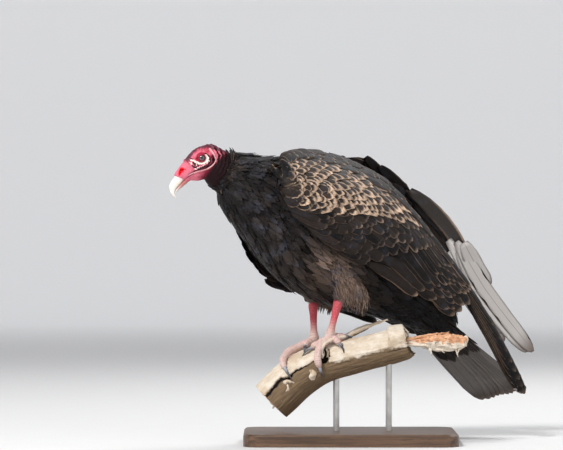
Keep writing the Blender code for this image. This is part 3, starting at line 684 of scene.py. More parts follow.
faceShape = {
    "warts": [([(14.1, 8.2), (13.2, 4.7), (9.8, -0.6), (8.0, -5.0), (1.2, -7.5), (-4.7, -6.9), (-7.2, -4.2),
                (-7.5, -0.8)], 24, 1.8),
              ([(8.6, -3.2), (5.5, -7.4), (1.0, -9.2), (-4.6, -8.9), (-8.2, -6.0)], 15, 1.5),
              ([(19.0, -6.4), (17.5, -8.1), (14.0, -8.3), (10.6, -9.0), (4.3, -10.7), (-0.7, -11.6), (-5.2, -10.9)],
               14, 1.1),
              ([(18.6, 5.6), (18.0, 2.4)], 4, 1.15), ([(15.8, -4.4), (12.4, -1.6)], 3, 0.9)],
    "sootLines": [([(14.2, 2.6), (14.6, -2.0), (16.8, -5.4)], 1.7), ([(19.2, 0.2), (18.6, -4.0)], 1.0),
                  ([(9.8, -3.4), (11.8, -6.0)], 1.1), ([(14.4, 12.8), (11.4, 5.8)], 0.8),
                  ([(-8.9, 1.5), (-10.3, -4.2), (-9.3, -9.0), (-6.4, -13.0), (1.0, -14.9), (8.7, -12.0),
                    (15.5, -10.2)], 1.35)],
    "blotches": [((5.6, 4.4), 2.2, 1.5), ((-12.6, -8.6), 2.4, 1.6)],
    "cheek": [(-19.0, 2.1), (-18.6, -3.6), (-17.6, -10.2), (-14.8, -16.6), (-10.9, -19.3), (-4.3, -19.9),
              (2.8, -19.0),
              (9.6, -16.2), (17.0, -12.4), (24.7, -9.6), (31.0, -8.6)],
    "ear": ((-12.3, -14.2), 2.0, 2.3), "mouth": [(45.5, -9.4), (37.0, -9.7), (30.0, -9.9), (25.5, -11.0)],
    "wrinkleCentre": (0.0, -1.0), "wrinkleStart": 23.9, "wrinkleStep": 5.7,
    "nostril": [(31.2, 2.4), (32.3, 5.8), (34.0, 8.2), (36.1, 8.6), (38.5, 7.3), (40.3, 5.8), (42.5, 3.8),
                (44.1, 2.3),
                (43.1, 1.2), (39.9, 2.7), (37.3, 3.6), (34.5, 2.0)],
    "nostrilMiddle": (37.9, 4.8), "nostrilDepth": 4.2,
    "brow": [(15.0, 9.6), (6.0, 10.2), (-4.0, 9.4)], "wart": (22.5, 15.2), "eyeOut": 13.2, "eyeRadius": 7.6,
    "hollow": (38.1, 4.6, 5.4, 3.0, 0.35),  # round the nostril: middle, half width and height, lean
    "nape": ((-30, -22.5, -15.5, -5.5, 0.5, 5.5, 9), (-36, -34.5, -33.5, -31.2, -29.3, -27, -25)),
    "napeWide": 17, "neckShade": ((446, 424), (-8, -20)), "scuteHeight": 0.8, "scuteSeam": 0.62}


def skinShapes():  # the closed shapes that the skin is made from: head and neck, body, legs
    turn = turns(96)
    along = np.linspace(0, 9, 90)[:, None]
    head = fromSkull(ringPoints(headShape["stations"], along, turn, lean=headShape["lean"]))
    knots = [(*spot, radius) for spot, radius in zip(
        [*fromSkull(neckShape["inSkull"]), *fromBird(neckShape["inBird"])], neckShape["radii"])]
    rows = smoothRows(knots, np.linspace(0, 3, 40))
    neck = pathRings(rows[:, :3], rows[:, 3], 72, neckShape["flat"])
    trunk = fromBird(tucked(ringPoints(trunkShape["stations"], along, turn, -trunkShape["depth"])))
    body = [closedTube(trunk)]
    for side in wingShape:
        thigh = thighPoints(side, np.linspace(0, 3.7, 40)[:, None], turn[::2], -thighShape["depth"])
        body.append(closedTube(fromBird(tucked(thigh))))
        u = np.linspace(0.1, 3.4 if side == "left" else 2.9, 40)[:, None]
        v = np.concatenate([np.linspace(0.07, 0.93, 24), np.linspace(0.93, 0.07, 24)])
        deep = np.where(np.arange(48) < 24, 3.6, armDepth(u) - 1.0)
        arm = bladePoints(side, u, v) - bladeNormal(side, u + 0 * v, v + 0 * u) * deep[..., None]
        body.append(closedTube(fromBird(arm)))
    legs = [closedTube(pathRings(line, radii, 24)) for side in wingShape for line, radii in legLines(side)]
    return [closedTube(head), closedTube(neck)], body, legs


def fused(name, shapes, voxel, passes):  # overlapping closed shapes remeshed as one, then eased
    made = placed(name, facingOut(newMesh(name, *together(shapes))))
    remesh = made.modifiers.new("fuse", "REMESH")
    remesh.mode = "VOXEL"
    remesh.voxel_size = voxel * mm
    easing = made.modifiers.new("ease", "SMOOTH")
    easing.factor = 0.5
    easing.iterations = passes
    made.data = settled(made)
    made.modifiers.clear()
    return made


def nostrilCutter():  # a pit from each side, with a small opening left between the two
    knots = np.array(faceShape["nostril"] + faceShape["nostril"][:1], float)
    ring = smoothRows(knots, np.linspace(0, len(knots) - 1, 48, endpoint=False))
    middle, deep = np.array(faceShape["nostrilMiddle"]), faceShape["nostrilDepth"]
    rings = []
    for y, share in ((-20, 1.0), (-deep, 0.82), (1 - deep, 0.08), (deep - 1, 0.08), (deep, 0.82), (20, 1.0)):
        x, z = (middle + (ring - middle) * share).T
        rings.append(joined(x, 0 * x + y, z))
    return placed("nostrilCutter", facingOut(newMesh("nostrilCutter", *closedTube(fromSkull(np.stack(rings))))))


def wartHeight(spots, line, count, size, seed):  # round bumps strung along a line: the height of the nearest
    knots = smoothRows(line, np.linspace(0, len(line) - 1, count))
    pick = np.random.default_rng(seed)
    knots = knots + pick.normal(0, 0.35, knots.shape)
    radii = size * pick.uniform(0.75, 1.25, count)
    apart = np.linalg.norm(spots[:, None] - knots, axis=2) / radii
    return (np.exp(-1.4 * apart**2) * radii).max(axis=1)


def headRelief(skull):  # how far each point of bare head skin moves, and the shares of each colour
    shape = faceShape
    x, y, z = skull.T
    spots = joined(x, z)
    side = ease(4.0, 9.0, np.abs(y))
    raised, masks = np.zeros(len(x)), {}
    bumps = [wartHeight(spots, line, count, size, 3 + i) / size
             for i, (line, count, size) in enumerate(shape["warts"])]
    warts = np.max(bumps, axis=0)
    raised += side * warts * 1.1
    masks["pale"] = side * ease(0.22, 0.62, warts)
    soot = sum(1 - ease(wide * 0.55, wide * 1.5, lineGap(spots, line)) for line, wide in shape["sootLines"])
    top = 17.5 - 0.035 * (x + 2) ** 2 * (x < 0) - 0.012 * (x + 2) ** 2 * (x > 0)
    mottle = ripple(joined(x, y, z), 4.5, 21)
    masks["crown"] = ease(-6.0, -0.5, z - top + 1.6 * mottle) * (1 - ease(17, 27, x)) * 0.85
    masks["dark"] = np.clip(side * soot * (1 - masks["pale"]), 0, 1)
    cheek = lineGap(spots, shape["cheek"])
    fold = np.exp(-(cheek / 1.35) ** 2) * side
    under = np.exp(-(lineGap(spots - (1.6, 2.4), shape["cheek"]) / 1.2) ** 2) * side * ease(-4, -9, z)
    raised += 1.25 * fold - 0.7 * under
    blot = sum(mound(x, z, *blotch) for blotch in shape["blotches"]) * side
    ear = mound(x, z, *shape["ear"]) * side
    mouth = np.exp(-(lineGap(spots, shape["mouth"]) / 0.9) ** 2) * side
    raised += -2.6 * ear - 1.3 * mouth - 0.5 * blot
    centre = shape["wrinkleCentre"]
    out = np.hypot(x - centre[0], z - centre[1])
    angle = np.arctan2(z - centre[1], -(x - centre[0]))
    wobble = 0.75 * ripple(skull, 13.0, 5) + 0.5 * ripple(skull, 5.5, 8)
    phase = (out - shape["wrinkleStart"]) / shape["wrinkleStep"] * 2 * np.pi + wobble
    zone = ease(20.5, 23.5, out) * ease(-1.75, -1.05, angle) * (1 - ease(1.2, 1.6, angle))
    inner = (ease(12.5, 15.0, out) * (1 - ease(17.5, 20.5, out)) * ease(-0.5, 0.3, angle)
             * (1 - ease(1.6, 2.3, angle)))
    crest = 0.5 + 0.5 * np.cos(phase)
    fine = 0.5 + 0.5 * np.cos(out * 2.9 + 1.4 * wobble)
    raised += zone * (crest**1.4 - 0.42) * 1.25 + inner * (fine - 0.5) * 0.5
    brow = np.exp(-(lineGap(spots, shape["brow"]) / 2.4) ** 2) * side
    wart = np.exp(-(((x - shape["wart"][0]) ** 2 + (z - shape["wart"][1]) ** 2 + y**2) / 5.0))
    puff = np.exp(-(((x - 37.5) ** 2 + (z - 4) ** 2) / 46.0)) * side
    creases = ripple(joined(x * 0.6 + z * 0.8, z * 0.5 - x * 0.3, y * 0.4), 5.0, 12)
    raised += 0.9 * brow + 2.2 * wart + 0.5 * puff + 0.16 * creases
    shade = (ease(-8.5, -30, z + 0.34 * x) * (1 - fold) * (1 - 0.6 * ease(20, 34, x))
             * (1 - 0.85 * zone * crest * ease(-27, -13, z)))
    # The deep value is painted shade in the wrinkle valleys, the ear, the mouth line, the groove under the cheek
    # fold, the blotches and the lower face, on skin that is darker there too.
    masks["deep"] = np.clip(zone * (1 - ease(0.05, 0.55, crest)) * 0.9
                            + inner * (1 - ease(0.2, 0.7, fine)) * 0.4 + 0.9 * ear + 0.5 * mouth + 0.8 * under
                            + 1.1 * shade + 0.5 * blot, 0, 1)
    # painted highlight: the pink is raised on the forehead, the brow, the cheek fold and the wrinkle crests, over
    # the skin's own flush
    masks["blushAndHighlight"] = np.clip(0.38 + 0.6 * fold + 0.75 * zone * crest + 0.45 * ease(12, 28, x) + 0.35 * brow
                             + 0.25 * inner * fine - 0.5 * ear - 0.7 * blot + 0.1 * creases, 0, 1)
    midX, midZ, wide, high, lean = shape["hollow"]
    inside = np.hypot((x - midX + lean * (z - midZ)) / wide, (z - midZ) / high) < 1
    hollow = np.maximum(1 - ease(0.2, 1.25, lineGap(spots, shape["nostril"]) + 0.25 * mottle), inside)
    masks["blushAndHighlight"] *= 1 - hollow
    # The lids: skin follows the globe's round near the eye, and drops behind it inside the opening.
    ring = np.hypot(x / 1.03, z)
    globe = shape["eyeOut"] + np.sqrt(np.maximum(shape["eyeRadius"] ** 2 - np.minimum(ring, 7.4) ** 2, 0))
    lid = globe + 0.5 - 3.2 * (1 - ease(4.4, 5.0, ring)) + 0.35 * np.exp(-((ring - 8.6) / 0.8) ** 2)
    near = (1 - ease(6.6, 10.5, ring)) * ease(6.0, 9.0, np.abs(y))
    pull = (lid - np.abs(y)) * near
    masks["pale"] = np.maximum(masks["pale"], 0.4 * fold)
    masks["pale"] *= 1 - near * (1 - ease(6.2, 7.2, ring))
    masks["blushAndHighlight"] = masks["blushAndHighlight"] * (1 - 0.6 * near)
    # painted shade in a thin ring where the lid meets the globe
    masks["deep"] = np.clip(masks["deep"] + 0.35 * near * np.exp(-((ring - 7.2) / 0.7) ** 2), 0, 1)
    # the nostril's bright red fill is painted light shining through it
    masks["washAndGlow"] = hollow
    return raised * (1 - near * (1 - ease(6.6, 8.4, ring))), pull * np.sign(y), masks


scuteStep = {"shank": 4.6, "toe": 2.9}


def legRelief(points):  # scutes across the front of the shank and the tops of the toes, and pebbles beneath
    best = np.full(len(points), 1e9)
    raised, seam, washAndGlow = np.zeros((3, len(points)))
    for side in wingShape:
        for number, (line, radii) in enumerate(legLines(side)):
            gone = walked(line)
            near, apart = nearLine(points, line)
            gap = np.sqrt(np.maximum(apart, 0)) - radii[near]
            along = gone[near] + ((points - line[near]) * unit(np.gradient(line, axis=0))[near]).sum(1)
            bark = joined(line[:, 0] - line[:, 0].mean(), line[:, 1], line[:, 2] - 132)
            front = unit(np.array([[-0.75, -0.65, 0.1]]) + 0 * line) if number == 0 else unit(bark)
            facing = (unit(points - line[near]) * front[near]).sum(1)
            step = scuteStep["toe" if number else "shank"]
            band = np.abs(np.sin(np.pi * along / step + 0.3 * facing)) ** 0.45
            pebbles = 0.5 + 0.5 * np.sin(along * 3.1) * np.sin(np.arccos(np.clip(facing, -1, 1)) * 7 + along)
            plate = ease(-0.15, 0.25, facing)
            height = plate * band * 0.5 + (1 - plate) * pebbles * 0.3
            closer = gap < best
            raised = np.where(closer, height, raised)
            seam = np.where(closer, plate * (1 - ease(0.25, 0.6, band)) + (1 - plate) * 0.35 * (1 - pebbles), seam)
            high = np.clip(gone[near] / gone[-1], 0, 1) if number == 0 else 0 * along
            washAndGlow = np.where(closer, 0.95 - 0.85 * ease(0.08, 0.62, high), washAndGlow)
            best = np.minimum(best, gap)
    return best, raised, seam, washAndGlow


skinGrain = {"skin": (0.80, 3), "flesh": (3.8, 5), "legs": (0.92, 2)}  # size of the faces, easing passes


def buildSkin():  # the joined shapes, moved by the relief of head and legs, with a number for each colour
    head, body, legs = skinShapes()
    skin = fused("skin", head, *skinGrain["skin"])
    cuts = [(nostrilCutter(), "DIFFERENCE")]
    for name, shapes in (("flesh", body), ("legs", legs)):
        cuts.append((fused(name, shapes, *skinGrain[name]), "UNION"))
    for other, operation in cuts:
        step = skin.modifiers.new(other.name, "BOOLEAN")
        step.operation = operation
        step.solver = "EXACT"
        step.object = other
    mesh = settled(skin)
    print("skin joined:", len(mesh.polygons), "faces")
    for old in [skin] + [other for other, _ in cuts]:
        bpy.data.objects.remove(old)
    points = meshPoints(mesh).astype(float)
    normals = np.empty(len(points) * 3, np.float32)
    mesh.vertices.foreach_get("normal", normals)
    normals = normals.reshape(-1, 3)
    legGap, scutes, seam, washAndGlow = legRelief(points)
    bird = toBird(points)
    bare = ease(-1.0, 3.0, (bird - ruffLine["at"]) @ ruffLine["way"] + 1.5 * ripple(bird, 9.0, 2))
    isLeg = (legGap < 2.5) & (bird[:, 0] < 120)
    raised, pull, masks = headRelief(toSkull(points))
    x, y, z = toSkull(points).T
    high, back = faceShape["neckShade"]
    low = ease(*high, points[:, 2]) * ease(*back, x)  # the neck darkens below and towards the ruff: painted shade, on skin that is darker there too
    nape = np.maximum(np.interp(z, *faceShape["nape"]) - x, 0)  # the back of the neck dips behind the head
    nape = nape * np.exp(-((y / faceShape["napeWide"]) ** 2)) * ease(-46, -26, z) * 0.85
    masks["deep"] = np.clip(masks["deep"] + 0.9 * low, 0, 1)
    headPart = bare * (bird[:, 0] > 150)
    moved = normals * (raised * headPart + np.where(isLeg, scutes * faceShape["scuteHeight"], 0))[:, None]
    moved += np.outer(pull * headPart, skullTurn[:, 1]) + np.outer(nape, skullTurn[:, 0])
    mesh.vertices.foreach_set("co", ((points + moved) * mm).astype(np.float32).ravel())
    # On the legs the deep value darkens the seams between the scutes and pebbles, partly as painted shade in the
    # creases.
    values = {"leg": isLeg * 1.0, "washAndGlow": np.where(isLeg, washAndGlow, masks["washAndGlow"] * headPart),
              "down": np.where(isLeg, 0, 1 - headPart),
              "deep": np.where(isLeg, seam * faceShape["scuteSeam"], masks["deep"]),
              **{title: masks[title] * headPart for title in ("blushAndHighlight", "pale", "dark", "crown")}}
    giveValues(mesh, values)
    mesh.shade_smooth()
    newPiece("skin", mesh, bareSkin, "skin_red", "trunk", "neck", "head", "thigh_left", "thigh_right",
             "leg_left", "leg_right")


buildSkin()
print("skin made")


# Eyes, bill and claws

def buildEye(side, sign):  # a globe whose clear front stands out a little, with its pole on the line of sight
    radius, out = faceShape["eyeRadius"], faceShape["eyeOut"]
    level = np.linspace(0.02, np.pi - 0.02, 60)[:, None]
    turn = turns(72)
    share = np.sin(level) + 0 * turn
    size = radius + 0.5 * (1 - np.clip(share / 0.62, 0, 1) ** 2) * (level < np.pi / 2)
    rings = joined(size * share * np.cos(turn), sign * (out + size * np.cos(level) + 0 * turn),
                   size * share * np.sin(turn))
    points, faces = closedTube(fromSkull(rings))
    away = np.concatenate([np.where(level + 0 * turn < np.pi / 2, share, 1.0).ravel(), [0.0, 1.0]])
    spin = np.concatenate([(turn / 2 / np.pi + 0 * level).ravel(), [0.0, 0.0]])
    corners = np.concatenate([part.ravel() for part in faces])
    mesh = facingOut(newMesh(f"eye_{side}", points, faces, {"iris": joined(away, spin)[corners]}))
    newPiece(f"eyeball_{side}", mesh, eyeGlass, "eye", f"eye_{side}")


lidShape = {"radius": 5.55, "wide": 1.03, "thick": 0.95}


def buildLid(side, sign):  # a soft ring of skin on the globe round the opening, thicker above
    turn = turns(90)[:, None]
    roll = turns(16)
    thick = lidShape["thick"] * (1 + 0.22 * np.sin(turn)) * (1 + 0.10 * np.sin(turn * 9) * np.sin(turn * 4))
    ring = lidShape["radius"] + thick * np.cos(roll)
    x, z = ring * lidShape["wide"] * np.cos(turn), ring * np.sin(turn) - 0.25 * np.maximum(np.sin(turn), 0)
    globe = faceShape["eyeOut"] + np.sqrt(np.maximum(faceShape["eyeRadius"] ** 2 - ring**2, 0.1))
    y = globe + 0.15 + thick * np.sin(roll)
    points = fromSkull(joined(x, sign * y, z)).reshape(-1, 3)
    count = len(turn) * len(roll)
    index = gridFaces(len(turn) + 1, len(roll), around=True) % count
    # painted shade on the lid's inner roll, through its deep value
    values = {"blushAndHighlight": np.full(count, 0.15), "deep": (0.30 + 0.25 * np.cos(roll + np.pi) + 0 * turn).ravel()}
    mesh = facingOut(newMesh(f"lid_{side}", points, [index], None, values))
    newPiece(f"lid_{side}", mesh, bareSkin, "skin_red")


billShape = {
    "upper": [(43, -2.8, 9.2, 6.2, 6.6), (54, -4.2, 7.6, 6.8, 5.8), (62, -6.3, 7.0, 6.2, 4.6),
              (67, -11, 4.8, 3.8, 3.1), (69.6, -16.5, 2.3, 2, 1.7), (70.2, -22.2, 0.4, 0.4, 0.4)],
    "lower": [(41, -12.2, 4.0, 3.9, 5.4), (48, -12.8, 3.6, 3.2, 4.6), (56, -13.4, 2.6, 2.3, 3.5),
              (62, -14.3, 1.7, 1.5, 2.3),
              (66.0, -15.0, 0.6, 0.7, 1.0)]}


def hornPiece(name, part, tomium=0.0, flush=0.0):  # rings of the solid's own stations, for one half of the bill
    stations = billShape[part]
    along = np.linspace(0, len(stations) - 1, 80)[:, None]
    turn = turns(56)
    below = np.sin(turn) < 0
    # The lower half is squared off, so that the cutting edges stand at the sides.
    bend = np.where(below, np.arctan2(np.sign(np.sin(turn)) * np.abs(np.sin(turn)) ** (1 - 0.45 * tomium),
                                      np.sign(np.cos(turn)) * np.abs(np.cos(turn)) ** (1 - 0.45 * tomium)), turn)
    square = 1 + 0.10 * tomium * np.where(below, np.sin(2 * turn) ** 2, 0)
    rings = ringPoints(stations, along, bend)
    centre = rings.mean(axis=1, keepdims=True)
    rings = centre + (rings - centre) * square[:, None]
    points, faces = closedTube(fromSkull(rings))
    share = np.concatenate([(along / (len(stations) - 1) + 0 * turn).ravel(), [0.0, 1.0]])
    rim = np.concatenate([(np.exp(-((turn - 1.25 * np.pi) / 0.5) ** 2) + np.exp(-((turn - 1.75 * np.pi) / 0.5) ** 2)
                           + 0 * along).ravel(), [0.0, 0.0]])
    mesh = facingOut(newMesh(name, points, faces, None, {"along": share, "rim": rim, "flush": 0 * share + flush}))
    newPiece(name, mesh, horn, "horn", f"bill_{part}")


clawShape = {"share": 0.12, "arch": 2.4, "root": 0.7}


def buildClaw(side, number, toe):  # a curved horn that goes on from the toe's end and comes down onto the bark
    foot, gap = footShape[side], footShape["gap"]
    _, radii, lift = toeLine(foot, toe, 8)
    radius, high = radii[-1] * 0.8 / 0.78, lift[-1]
    size = 11.0 + clawShape["share"] * toe[2]
    share = np.linspace(0, 1, 24)
    thick = radius * clawShape["root"] * (1 - share) ** 0.7 + 0.3
    eased = share**2 * (3 - 2 * share)
    rise = clawShape["arch"] * np.sin(np.pi * share) ** 2 + high * (1 - eased) + (gap + 1.8) * eased
    start = toe[2] - 1.2
    line = overBark(foot, toe, start + (gap + 3.0 + size) * share, np.maximum(rise, thick + gap + 1.2))
    points, faces = closedTube(pathRings(line, thick, 16))
    along = np.concatenate([np.repeat(share, 16), [0.0, 1.0]])
    mesh = facingOut(newMesh("claw", points, faces, None, {"along": along}))
    newPiece(f"talon_{side}_{number}", mesh, clawHorn, "claw", f"claw_{side}_{number}")


for side, sign in wingSign.items():
    buildEye(side, sign)
    buildLid(side, sign)
    for number, toe in enumerate(footShape[side]["toes"], 1):
        buildClaw(side, number, toe)
hornPiece("hornUpper", "upper", tomium=1.0)
hornPiece("hornLower", "lower", flush=0.95)
print("eyes, bill and claws made")


# Feathers: closed vanes laid along a surface, each worked back from its tip

vaneForms = {
    "contour": {"rows": (0, 0.15, 0.38, 0.6, 0.78, 0.91, 1), "outline": (0.25, 0.6, 0.93, 1, 0.9, 0.68, 0.34),
                "columns": (-1, -0.55, 0, 0.55, 1), "round": 0.07, "notch": 0.02},
    "soft": {"rows": (0, 0.25, 0.5, 0.7, 0.85, 0.95, 1), "outline": (0.3, 0.8, 1, 0.96, 0.78, 0.5, 0.2),
             "columns": (-1, -0.5, 0, 0.5, 1), "round": 0.04, "notch": 0.06},
    "plume": {"rows": (0, 0.3, 0.6, 0.85, 1), "outline": (0.5, 1, 1, 0.6, 0.15), "columns": (-1, 0, 1), "round": 0.0,
              "notch": 0.05, "bend": 2},
    "flight": {"rows": (0, 0.1, 0.25, 0.4, 0.55, 0.7, 0.8, 0.88, 0.94, 0.98, 1),
               "outline": (0.5, 0.75, 0.95, 1, 1, 1, 0.97, 0.88, 0.7, 0.48, 0.26),
               "columns": (-1, -0.62, -0.28, -0.05, 0.05, 0.28, 0.62, 1), "round": 0.012, "notch": 0.004}}


class Surface:  # a place for feathers: its points, and the side that faces out
    def __init__(self, at, sample, facing, spread, limits=(-1e9, 1e9)):
        self.at, self.spread, self.limits = at, spread, limits
        self.side = 1.0
        self.side = 1.0 if self.frame(*sample)[3] @ np.array(facing) > 0 else -1.0

    def frame(self, u, v):  # the point, its two slopes and the unit normal on the outer side
        here, down, over, normal = frameOf(self.at, u, v)
        return here, down, over, normal * self.side


def inMap(vector, down, over):  # the step on the surface's own map that moves a point by the vector
    e, f, g = ((a * b).sum(-1) for a, b in ((down, down), (down, over), (over, over)))
    a, b = (vector * down).sum(-1), (vector * over).sum(-1)
    flat = np.maximum(e * g - f * f, 1e-6)
    return (g * a - f * b) / flat, (e * b - f * a) / flat


def vaneFaces(rows, columns):  # top faces, then under faces that share the rim
    top = gridFaces(rows, columns)
    under = np.arange(rows * columns).reshape(rows, columns)
    under[1:-1, 1:-1] = rows * columns + np.arange((rows - 2) * (columns - 2)).reshape(rows - 2, columns - 2)
    return top, under.ravel()[top][:, ::-1]


bakePatch = 0.003  # how wide each feather's patch is on the map OFBake
mapPart = {"whole": (0.02, 0.98, 0.02, 0.98), "upper": (0.02, 0.98, 0.52, 0.98), "lower": (0.02, 0.98, 0.02, 0.48)}


def layVanes(surface, tips, flow, length, half, form, lift=(-2.5, 1.0), lean=0.0, camber=0.10, swing=0.0,
             thick=0.5, fray=0.06, curl=0.0, look=None):
    form = vaneForms[form]
    rows, outline, columns = (np.array(form[key], float) for key in ("rows", "outline", "columns"))
    count = len(tips)
    length, half, lean, swing, curl = (np.broadcast_to(np.asarray(x, float), count)
                                       for x in (length, half, lean, swing, curl))
    low, high = (np.broadcast_to(np.asarray(x, float), count) for x in lift)
    u, v = np.array(tips, float).T
    spots = []
    for i in range(len(rows) - 1, -1, -1):
        here, down, over, normal = surface.frame(u, v)
        ahead = flow(u, v, down)
        ahead = unit(ahead - (ahead * normal).sum(-1, keepdims=True) * normal)
        aside = np.cross(normal, ahead)
        angle = (swing * (1 - rows[i]))[:, None]
        ahead, aside = ahead * np.cos(angle) + aside * np.sin(angle), aside * np.cos(angle) - ahead * np.sin(angle)
        goU, goV = inMap(ahead, down, over)
        spots.append((u, v, *inMap(aside, down, over), goU, goV))
        if i:
            step = (rows[i] - rows[i - 1]) * length
            u, v = u - goU * step, v - goV * step
    spots = np.array(spots[::-1])
    t, wide = rows[:, None, None], outline[:, None, None] * half
    s = columns[None, :, None] + chance.normal(0, fray, (len(rows), len(columns), count)) * (t > 0.5)
    reach = s * wide
    late = ease(0.5, 1.0, t)
    notch = chance.uniform(-1, 1, reach.shape) * form["notch"]
    shift = -late * (form["round"] * columns[None, :, None] ** 2 + notch) * length
    here, _, _, normal = surface.frame(
        *(spots[:, i][:, None] + spots[:, 2 + i][:, None] * reach + spots[:, 4 + i][:, None] * shift
          for i in (0, 1)))
    bend = 1 - columns[None, :, None] ** 2
    height = (low + (high - low) * t + camber * half * outline[:, None, None] * bend + lean * reach
              + curl * t ** form.get("bend", 4))
    height = height + 0 * reach
    top = here + normal * height[..., None]
    deep = thick * bend * np.sin(np.pi * np.clip(t * 0.9 + 0.06, 0, 1)) ** 0.5
    below = (top - normal * (deep + 0 * reach)[..., None])[1:-1, 1:-1]
    points = np.concatenate([np.moveaxis(part.reshape(-1, count, 3), 1, 0) for part in (top, below)], axis=1)
    # A vane that the map has stretched, at a corner of the surface, is left out.
    end = points[:, len(rows) * len(columns) - (len(columns) + 1) // 2]
    sound = np.linalg.norm(points - end[:, None], axis=2).max(axis=1) < 1.12 * length + 1.3 * half + 3
    sound &= (spots[:, 1].min(axis=0) > surface.limits[0]) & (spots[:, 1].max(axis=0) < surface.limits[1])
    points, length, half = points[sound], length[sound], half[sound]
    spots, count = spots[:, :, sound], int(sound.sum())
    upper, lower = vaneFaces(len(rows), len(columns))
    size = points.shape[1]
    start = np.arange(count)[:, None, None] * size
    faces = [(part + start).reshape(-1, 4) for part in (upper, lower)]
    where = joined(np.tile((columns + 1) / 2, len(rows)), np.repeat(rows, len(columns)))
    corner = [where[gridFaces(len(rows), len(columns)).ravel()]]
    corner.append(where[gridFaces(len(rows), len(columns))[:, ::-1].ravel()] + (2.0, 0.0))
    patch = [part - (2.0 * (part[:, :1] > 1.5)) * (1, 0) for part in corner]
    (u0, u1), (v0, v1), (left, right, bottom, top) = surface.spread
    root = joined(left + (right - left) * (spots[0, 0] - u0) / (u1 - u0),
                  bottom + (top - bottom) * np.mod((spots[0, 1] - v0) / (v1 - v0), 1.0))
    vane = [np.tile(part, (count, 1)) for part in corner]
    bake = [(bakePatch * (part - 0.5))[None] + root[:, None] for part in patch]
    values = {"tint": 1.0, "fringe": 0.0, "brown": 0.0, "silver": 0.0, "soft": 0.0, **(look or {})}
    values = {title: np.broadcast_to(value, len(sound))[sound] for title, value in values.items()}
    values = {title: np.repeat(value, size) for title, value in {**values, "long": length, "wide": half}.items()}
    return {"points": points.reshape(-1, 3), "faces": faces, "vane": vane,
            "bake": [part.reshape(-1, 2) for part in bake], "values": values}


def coatPiece(name, layers, slot, *replaced):  # several layers of feathers as one mesh
    points, faces = together([(layer["points"], layer["faces"]) for layer in layers])
    uvMaps = {title: np.concatenate([part for layer in layers for part in layer[key]])
              for title, key in (("vane", "vane"), ("OFBake", "bake"))}
    values = {title: np.concatenate([layer["values"][title] for layer in layers]) for title in layers[0]["values"]}
    mesh = newMesh(name, points, faces, uvMaps, values)
    print(name, "has", sum(len(part) for part in faces) * 2, "triangles")
    newPiece(name, facingOut(mesh), vanes, slot, *replaced)


def kept(tips, *lists, where):  # the chosen feathers, and what belongs to them
    return [tips[where]] + [numbers[where] for numbers in lists]


def looks(count, **spans):  # numbers drawn evenly between two ends for each feather, in the order given
    return {title: chance.uniform(*span, count) for title, span in spans.items()}


def alongMap(u, v, down):  # the lie of the coat: straight down the surface's length
    return down


hiding = {"beside": 7.0, "through": -4.0, "behind": -26.0, "before": 25.0}  # where a wing covers a feather


def clearOfWings(tips, surface, length):
    # A feather stays only if it isn't wholly covered by a wing and doesn't come up through one.
    here, down = surface.frame(*tips.T)[:2]
    tip, root = toBird(here), toBird(here - unit(down) * length[:, None])
    stays = np.ones(len(tips), bool)
    for side in wingShape:
        _, out, beside = overBlade(tip, side, 121, 41)
        tipIn = (beside < hiding["beside"]) & (out < hiding["before"])
        rootIn = overBlade(root, side, 121, 41)[2] < hiding["beside"]
        stays &= ~(tipIn & rootIn & (out > hiding["behind"])) & ~(tipIn & (out > hiding["through"]))
    return stays


# The plumage of the trunk

def neckTable():  # centre, the two cross directions and the radius all along the neck
    knots = [(*spot, radius) for spot, radius in zip(
        [*fromSkull(neckShape["inSkull"]), *fromBird(neckShape["inBird"])], neckShape["radii"])]
    rows = smoothRows(knots, np.linspace(0, 3, 200))
    ring = pathRings(rows[:, :3], np.ones(200), 4, neckShape["flat"])
    return rows, ring[:, 0] - rows[:, :3], ring[:, 1] - rows[:, :3]


neckRows, neckSide, neckUp = neckTable()


def neckPoints(u, v):  # rings round the neck's path, from the skull to the trunk
    u, v = np.broadcast_arrays(np.asarray(u, float), np.asarray(v, float))
    at = np.clip(u, 0, 3) / 3 * 199
    centre, side, up = (joined(*(np.interp(at, np.arange(200), table[:, i]) for i in range(3)))
                        for table in (neckRows, neckSide, neckUp))
    radius = np.interp(at, np.arange(200), neckRows[:, 3])[..., None]
    return centre + radius * (np.cos(v)[..., None] * side + np.sin(v)[..., None] * up)


neckSurface = Surface(neckPoints, (2.0, np.pi / 2), neckUp[130], ((0, 3), (0, 2 * np.pi), mapPart["whole"]))


def ruffCoat():  # small feathers that start along a slanting line round the neck
    rows = evenSteps(neckSurface, np.pi, 1.1, 2.98, 4.0)
    tips = ringRows(neckSurface, rows, ((0, 3), (4.2, 5.0)), jitter=0.4)
    here, down, _, _ = neckSurface.frame(*tips.T)
    length = chance.uniform(13, 19, len(tips))
    root = toBird(here - unit(down) * length[:, None])
    tips, length = kept(tips, length, where=(root - ruffLine["at"]) @ ruffLine["way"] < 4.5)
    light = chance.random(len(tips)) ** 2
    look = {"tint": chance.uniform(0.9, 1.7, len(tips)), "fringe": 0.03 + 0.3 * light,
            "brown": np.clip(0.05 + 0.5 * light, 0, 1)}
    root = -1.5 - 4.5 * np.maximum(np.sin(tips[:, 1]), 0) ** 2  # deeper set on top
    return layVanes(neckSurface, tips, alongMap, length, length * 0.2, "soft", lift=(root, 1.6),
                    swing=chance.normal(0, 0.25, len(tips)), curl=chance.uniform(-0.4, 1.0, len(tips)),
                    camber=0.14, fray=0.08, thick=0.2, look=look)


trunkSurface = Surface(lambda u, v: fromBird(ringPoints(trunkShape["stations"], u, v)), (4.5, 1.57), (0, 0, 1),
                       ((0, 9), (0, 2 * np.pi), mapPart["whole"]))


